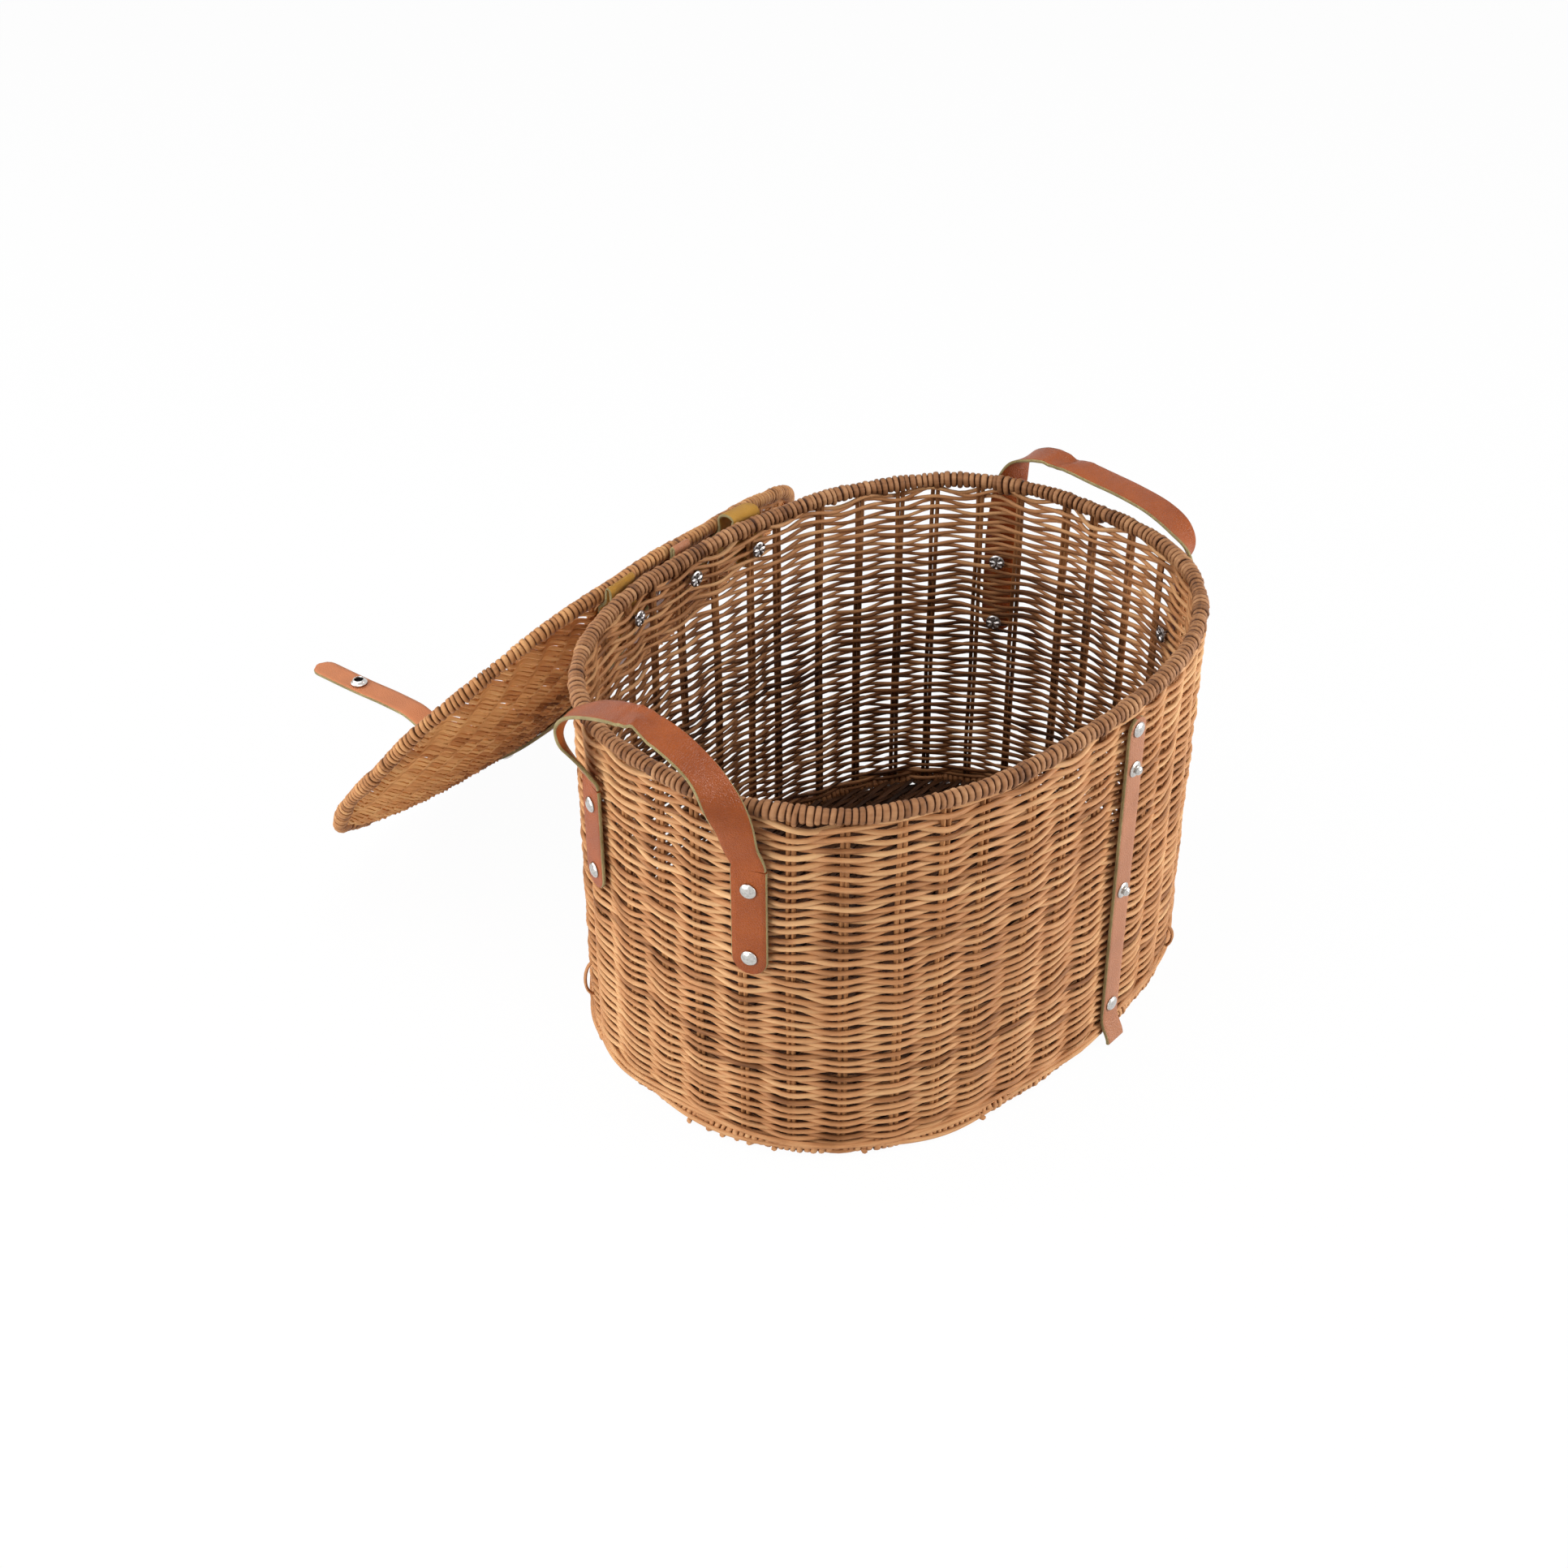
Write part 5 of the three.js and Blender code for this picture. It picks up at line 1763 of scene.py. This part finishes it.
@dataclass
class Fittings(Part):
    """Rivets, snap studs and the snap's socket."""

    cap_radius: float = 0.005
    dome: float = 0.0022
    shank: float = 0.0015
    back_radius: float = 0.0053
    prongs: int = 6
    prong_depth: float = 0.0009
    stud_height: float = 0.0045
    socket_cap: float = 0.0015
    socket_mouth: float = 0.0035
    wall_stack: float = 0.0118
    lid_stack: float = 0.008
    segments: int = 36

    def rivet(self, stack: float) -> Piece:
        """Models one rivet on the Z axis: domed cap, shank and a back with folded prongs.

        Args:
            stack: Thickness of what the rivet holds.

        Returns:
            The model.
        """
        r = self.cap_radius
        back = -stack
        cap = [(r * math.cos(a), self.dome * math.sin(a)) for a in np.radians(np.linspace(90, 8, 8))]
        profile = [
            *cap,
            (0.985 * r, 0.00005),
            (0.9 * r, 0.0),
            (self.shank, 0.0),
            (self.shank, back),
            (self.back_radius, back),
            (self.back_radius, back - 0.0006),
            (0.86 * self.back_radius, back - 0.001),
            (0.7 * self.back_radius, back - 0.0008),
            (0.5 * self.back_radius, back - 0.0008),
            (0.3 * self.back_radius, back - 0.001),
            (0.0, back - 0.0006),
        ]
        piece = turned("rivet", profile, self.segments, self.finishes.nickel)
        piece.data.materials.append(self.finishes.steel)
        for vertex in piece.data.vertices:
            reach = math.hypot(vertex.co.x, vertex.co.y) / self.back_radius
            if vertex.co.z < back - 0.0003 and 0.2 < reach < 0.8:
                prong = math.cos(self.prongs * math.atan2(vertex.co.y, vertex.co.x))
                vertex.co.z -= self.prong_depth * max(prong, -0.3)
        for face in piece.data.polygons:
            face.material_index = int(face.center.z < back + 0.0001)
        return piece

    def stud(self) -> Piece:
        """Models one male snap on the Z axis.

        Returns:
            The model.
        """
        profile = [
            (0.0, self.stud_height),
            (0.0014, 0.0043),
            (0.0024, 0.0037),
            (0.0029, 0.0029),
            (0.0026, 0.002),
            (0.0021, 0.0013),
            (0.0034, 0.0011),
            (0.0044, 0.0009),
            (0.0051, 0.0003),
            (0.0051, 0.0),
            (self.shank, 0.0),
            (self.shank, -self.basket.strap_thickness),
            (0.0, -self.basket.strap_thickness),
        ]
        return turned("stud", profile, self.segments, self.finishes.nickel)

    def socket(self) -> Piece:
        """Models the female snap on the Z axis, its cap up and its open ring down.

        Returns:
            The model.
        """
        inner = -self.basket.strap_thickness - 2 * self.basket.seat_gap
        profile = [
            (0.0, self.socket_cap),
            (0.003, 0.0013),
            (0.0047, 0.0007),
            (0.005, 0.0),
            (self.shank, 0.0),
            (self.shank, inner),
            (0.0064, inner),
            (0.0064, inner - 0.0005),
            (0.0057, inner - 0.001),
            (0.005, inner - 0.0022),
            (0.0044, inner - 0.0029),
            (0.0037, inner - 0.0031),
            (0.0034, inner - 0.0026),
            (0.0034, inner - 0.0004),
            (0.0, inner - 0.0003),
        ]
        piece = turned("socket", profile, self.segments, self.finishes.nickel)
        # The faces in the open mouth take the near black: painted shade in the hole.
        piece.data.materials.append(self.finishes.hollow)
        for face in piece.data.polygons:
            within = math.hypot(face.center.x, face.center.y) < self.socket_mouth
            face.material_index = int(within and face.center.z < inner)
        return piece

    def outward(self, node: str, body: str) -> Array:
        """Gives roughly which way a fitting's cap faces.

        Args:
            node: Name of its CAD node.
            body: Body that it rides on.

        Returns:
            The direction.
        """
        if body == "tongue":
            return -UP
        if body == "lid":
            return self.basket.opened_direction(UP)
        low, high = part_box(node)
        return self.basket.oval.outward(np.array((low + high) / 2)[:2])

    def placing(self, node: str, body: str, cap_height: float) -> Matrix:
        """Reads from a node's solid where its fitting stands.

        Args:
            node: Name of the CAD node.
            body: Body that it rides on.
            cap_height: Height of the solid's top over its seat.

        Returns:
            The transform from +Z at the origin to the cap's flat side.
        """
        co = np.array([v.co for v in frame["nodes"][node].data.vertices])
        co = np.unique(np.round(co, 6), axis=0)
        centre = co.mean(axis=0)
        values, vectors = np.linalg.eigh(np.cov((co - centre).T))
        spread = [abs(values[(k + 1) % 3] - values[(k + 2) % 3]) for k in range(3)]
        axis = vectors[:, int(np.argmin(spread))]
        if axis @ self.outward(node, body) < 0:
            axis = -axis
        level = float(((co - centre) @ axis).max()) - cap_height
        turn = Vector(axis).to_track_quat("Z", "Y").to_matrix().to_4x4()
        return Matrix.Translation(Vector(centre + level * axis)) @ turn

    def put(self, model: Piece, node: str, body: str, cap_height: float) -> None:
        """Copies a model to a node's place, with its own mesh.

        Args:
            model: The model on the Z axis.
            node: Name of the CAD node.
            body: Body that the copy rides on.
            cap_height: Height of the solid's top over its seat.
        """
        mesh = model.data.copy()
        mesh.transform(self.placing(node, body, cap_height))
        settle(linked(f"{node}_nickel", mesh), body, Slot.NICKEL, node)

    def build(self) -> None:
        """Makes each fitting from one model of its kind."""
        wall_rivet = self.rivet(self.wall_stack)
        lid_rivet = self.rivet(self.lid_stack)
        stud = self.stud()
        socket = self.socket()
        for body, nodes in frame["record"]["behaviour"]["bodies"].items():
            for node in nodes:
                if "rivet" in node:
                    self.put(wall_rivet if body == "basket" else lid_rivet, node, body, self.dome)
                elif "stud" in node:
                    self.put(stud, node, body, self.stud_height)
                elif "socket" in node:
                    self.put(socket, node, body, self.socket_cap)
        for model in (wall_rivet, lid_rivet, stud, socket):
            bpy.data.objects.remove(model)


@dataclass(frozen=True)
class Lamp:
    """One square soft light that faces the basket."""

    name: str
    place: Triple
    size: float
    watts: float
    target: Triple = (0.0, 0.05, 0.12)

    def build(self) -> None:
        """Hangs the lamp."""
        data = bpy.data.lights.new(self.name, "AREA")
        data.energy = self.watts
        data.size = self.size
        lamp = linked(self.name, data)
        lamp.location = self.place
        aim = Vector(self.target) - Vector(self.place)
        lamp.rotation_euler = aim.to_track_quat("-Z", "Y").to_euler()


@dataclass
class Studio:
    """Camera, lamps, white world and pale floor.

    Attributes:
        roll: Roll of the camera in radians.
        floor_white: Share of plain white in what the camera sees of the floor.
    """

    eye: Triple = (-0.90528, -0.77299, 0.97326)
    target: Triple = (-0.03453, 0.05992, 0.12145)
    roll: float = -0.0051
    focal_pixels: float = 2867.9
    frame_pixels: float = 1932.0
    sensor: float = 36.0
    world_strength: float = 0.09
    floor_half: float = 6.0
    floor_level: float = -0.0006
    floor_colour: Triple = (0.88, 0.88, 0.88)
    floor_white: float = 0.97
    lamps: tuple[Lamp, ...] = (
        Lamp("left", (-1.7, 0.35, 0.7), 1.3, 27.0),
        Lamp("right", (1.15, -1.55, 0.7), 1.3, 45.0),
        Lamp("back", (-0.9, 1.7, 1.2), 1.3, 16.0),
        Lamp("top", (-0.25, 0.1, 2.1), 1.6, 24.0),
    )

    def camera(self) -> None:
        """Sets the camera at the photograph's viewing angle."""
        data = bpy.data.cameras.new("camera")
        data.sensor_width = self.sensor
        data.lens = self.focal_pixels / self.frame_pixels * self.sensor
        camera = linked("camera", data)
        camera.location = self.eye
        aim = Vector(self.target) - Vector(self.eye)
        level = aim.to_track_quat("-Z", "Y").to_matrix()
        camera.rotation_euler = (level @ Matrix.Rotation(self.roll, 3, "Z")).to_euler()
        bpy.context.scene.camera = camera

    def seen(self, bench: NodeBench) -> Socket:
        """Tells the rays that show a thing from those that light the scene.

        Args:
            bench: Bench on the tree that asks.

        Returns:
            1 for camera, glossy and transmission rays and 0 for the rest.
        """
        path = bench.add("ShaderNodeLightPath")
        direct = bench.math("MAXIMUM", path.outputs["Is Camera Ray"], path.outputs["Is Glossy Ray"])
        return bench.math("MAXIMUM", direct, path.outputs["Is Transmission Ray"])

    def world(self) -> None:
        """Lights the scene evenly and shows white behind it."""
        world = bpy.data.worlds.new("studio")
        world.use_nodes = True
        bpy.context.scene.world = world
        bench = NodeBench(world.node_tree)
        strength = bench.scaled(self.seen(bench), 1 - self.world_strength, self.world_strength)
        bench.feed(world.node_tree.nodes["Background"], {"Color": (1, 1, 1, 1), "Strength": strength})

    def floor(self) -> None:
        """Lays the floor, white to the camera."""
        bpy.ops.object.select_all(action="DESELECT")
        bpy.ops.mesh.primitive_plane_add(size=2 * self.floor_half, location=(0, 0, self.floor_level))
        floor = bpy.context.object
        floor.name = "floor"
        material, bench, shader = new_material("floor")
        bench.feed(shader, {"Base Color": (*self.floor_colour, 1), "Roughness": 0.9})
        glow = bench.add("ShaderNodeEmission").outputs["Emission"]
        share = bench.math("MULTIPLY", self.seen(bench), self.floor_white)
        blend = bench.add("ShaderNodeMixShader", {0: share, 1: shader.outputs["BSDF"], 2: glow})
        bench.feed(material.node_tree.nodes["Material Output"], {"Surface": blend.outputs["Shader"]})
        floor.data.materials.append(material)

    def build(self) -> None:
        """Sets up the studio."""
        self.camera()
        self.world()
        self.floor()
        for lamp in self.lamps:
            lamp.build()
        bpy.context.scene.view_settings.view_transform = "Standard"


def main() -> None:
    """Builds the studio and every piece of the basket."""
    logging.basicConfig(level=logging.INFO, format="%(name)s: %(message)s")
    Studio().build()
    basket = BasketFrame()
    finishes = Finishes()
    kit = (basket, finishes)
    rim = (finishes.binding, basket.rim_radius, basket.rim_height)
    lid_rim = (finishes.shaded, basket.lid_ring_radius, basket.lid_ring_height)
    base_mat = WovenPanel(
        *kit, "base_mat", "basket", finishes.base_cane, seed=21, domed=False,
        pitch=0.0036, weaver_radius=0.0019, stake_radius=0.0013, stake_spacing=0.022, swing=0.0012,
    )
    lid_mat = WovenPanel(
        *kit, "lid_mat", "lid", finishes.lid_cane, seed=22, domed=True, puff=0.002, painted_light_and_shade=0.46,
        pitch=0.00235, weaver_radius=0.00148, stake_radius=0.0011, stake_spacing=0.0185, swing=0.0007,
    )
    parts = [
        WovenWall(*kit),
        BoundRing(*kit, "rim", "basket", *rim, seed=3, stitches=True, seat=Side.POSITIVE),
        # The base ring's inside takes painted shade.
        BoundRing(
            *kit, "base_ring", "basket", finishes.rattan, radius=0.0042, height=0.0045, seed=4,
            waver=0.0001, inner_painted_shade=0.85,
        ),
        BoundRing(
            *kit, "lid_ring", "lid", *lid_rim, seed=6, wrap_width=0.0036, opened=True, seat=Side.NEGATIVE
        ),
        base_mat,
        lid_mat,
        FrontStrap(*kit),
        Handle(*kit, "left", Side.NEGATIVE, LEFT_RUN, flat_twist=80.0, crease=(0.47, 0.0038)),
        Handle(*kit, "right", Side.POSITIVE, RIGHT_RUN, flat_twist=86.0, crease=(0.64, 0.0025)),
        Hinge(*kit, "hinge_left", x=-0.0795, width=0.024, napped=True, wall_leg=0.032),
        Hinge(*kit, "hinge_middle", x=-0.023, width=0.015, napped=False, wall_leg=0.024),
        Hinge(*kit, "hinge_right", x=0.0335, width=0.024, napped=True, wall_leg=0.032),
        Closure(*kit),
        Fittings(*kit),
    ]
    for part in parts:
        part.build()


if __name__ == "__main__":
    main()
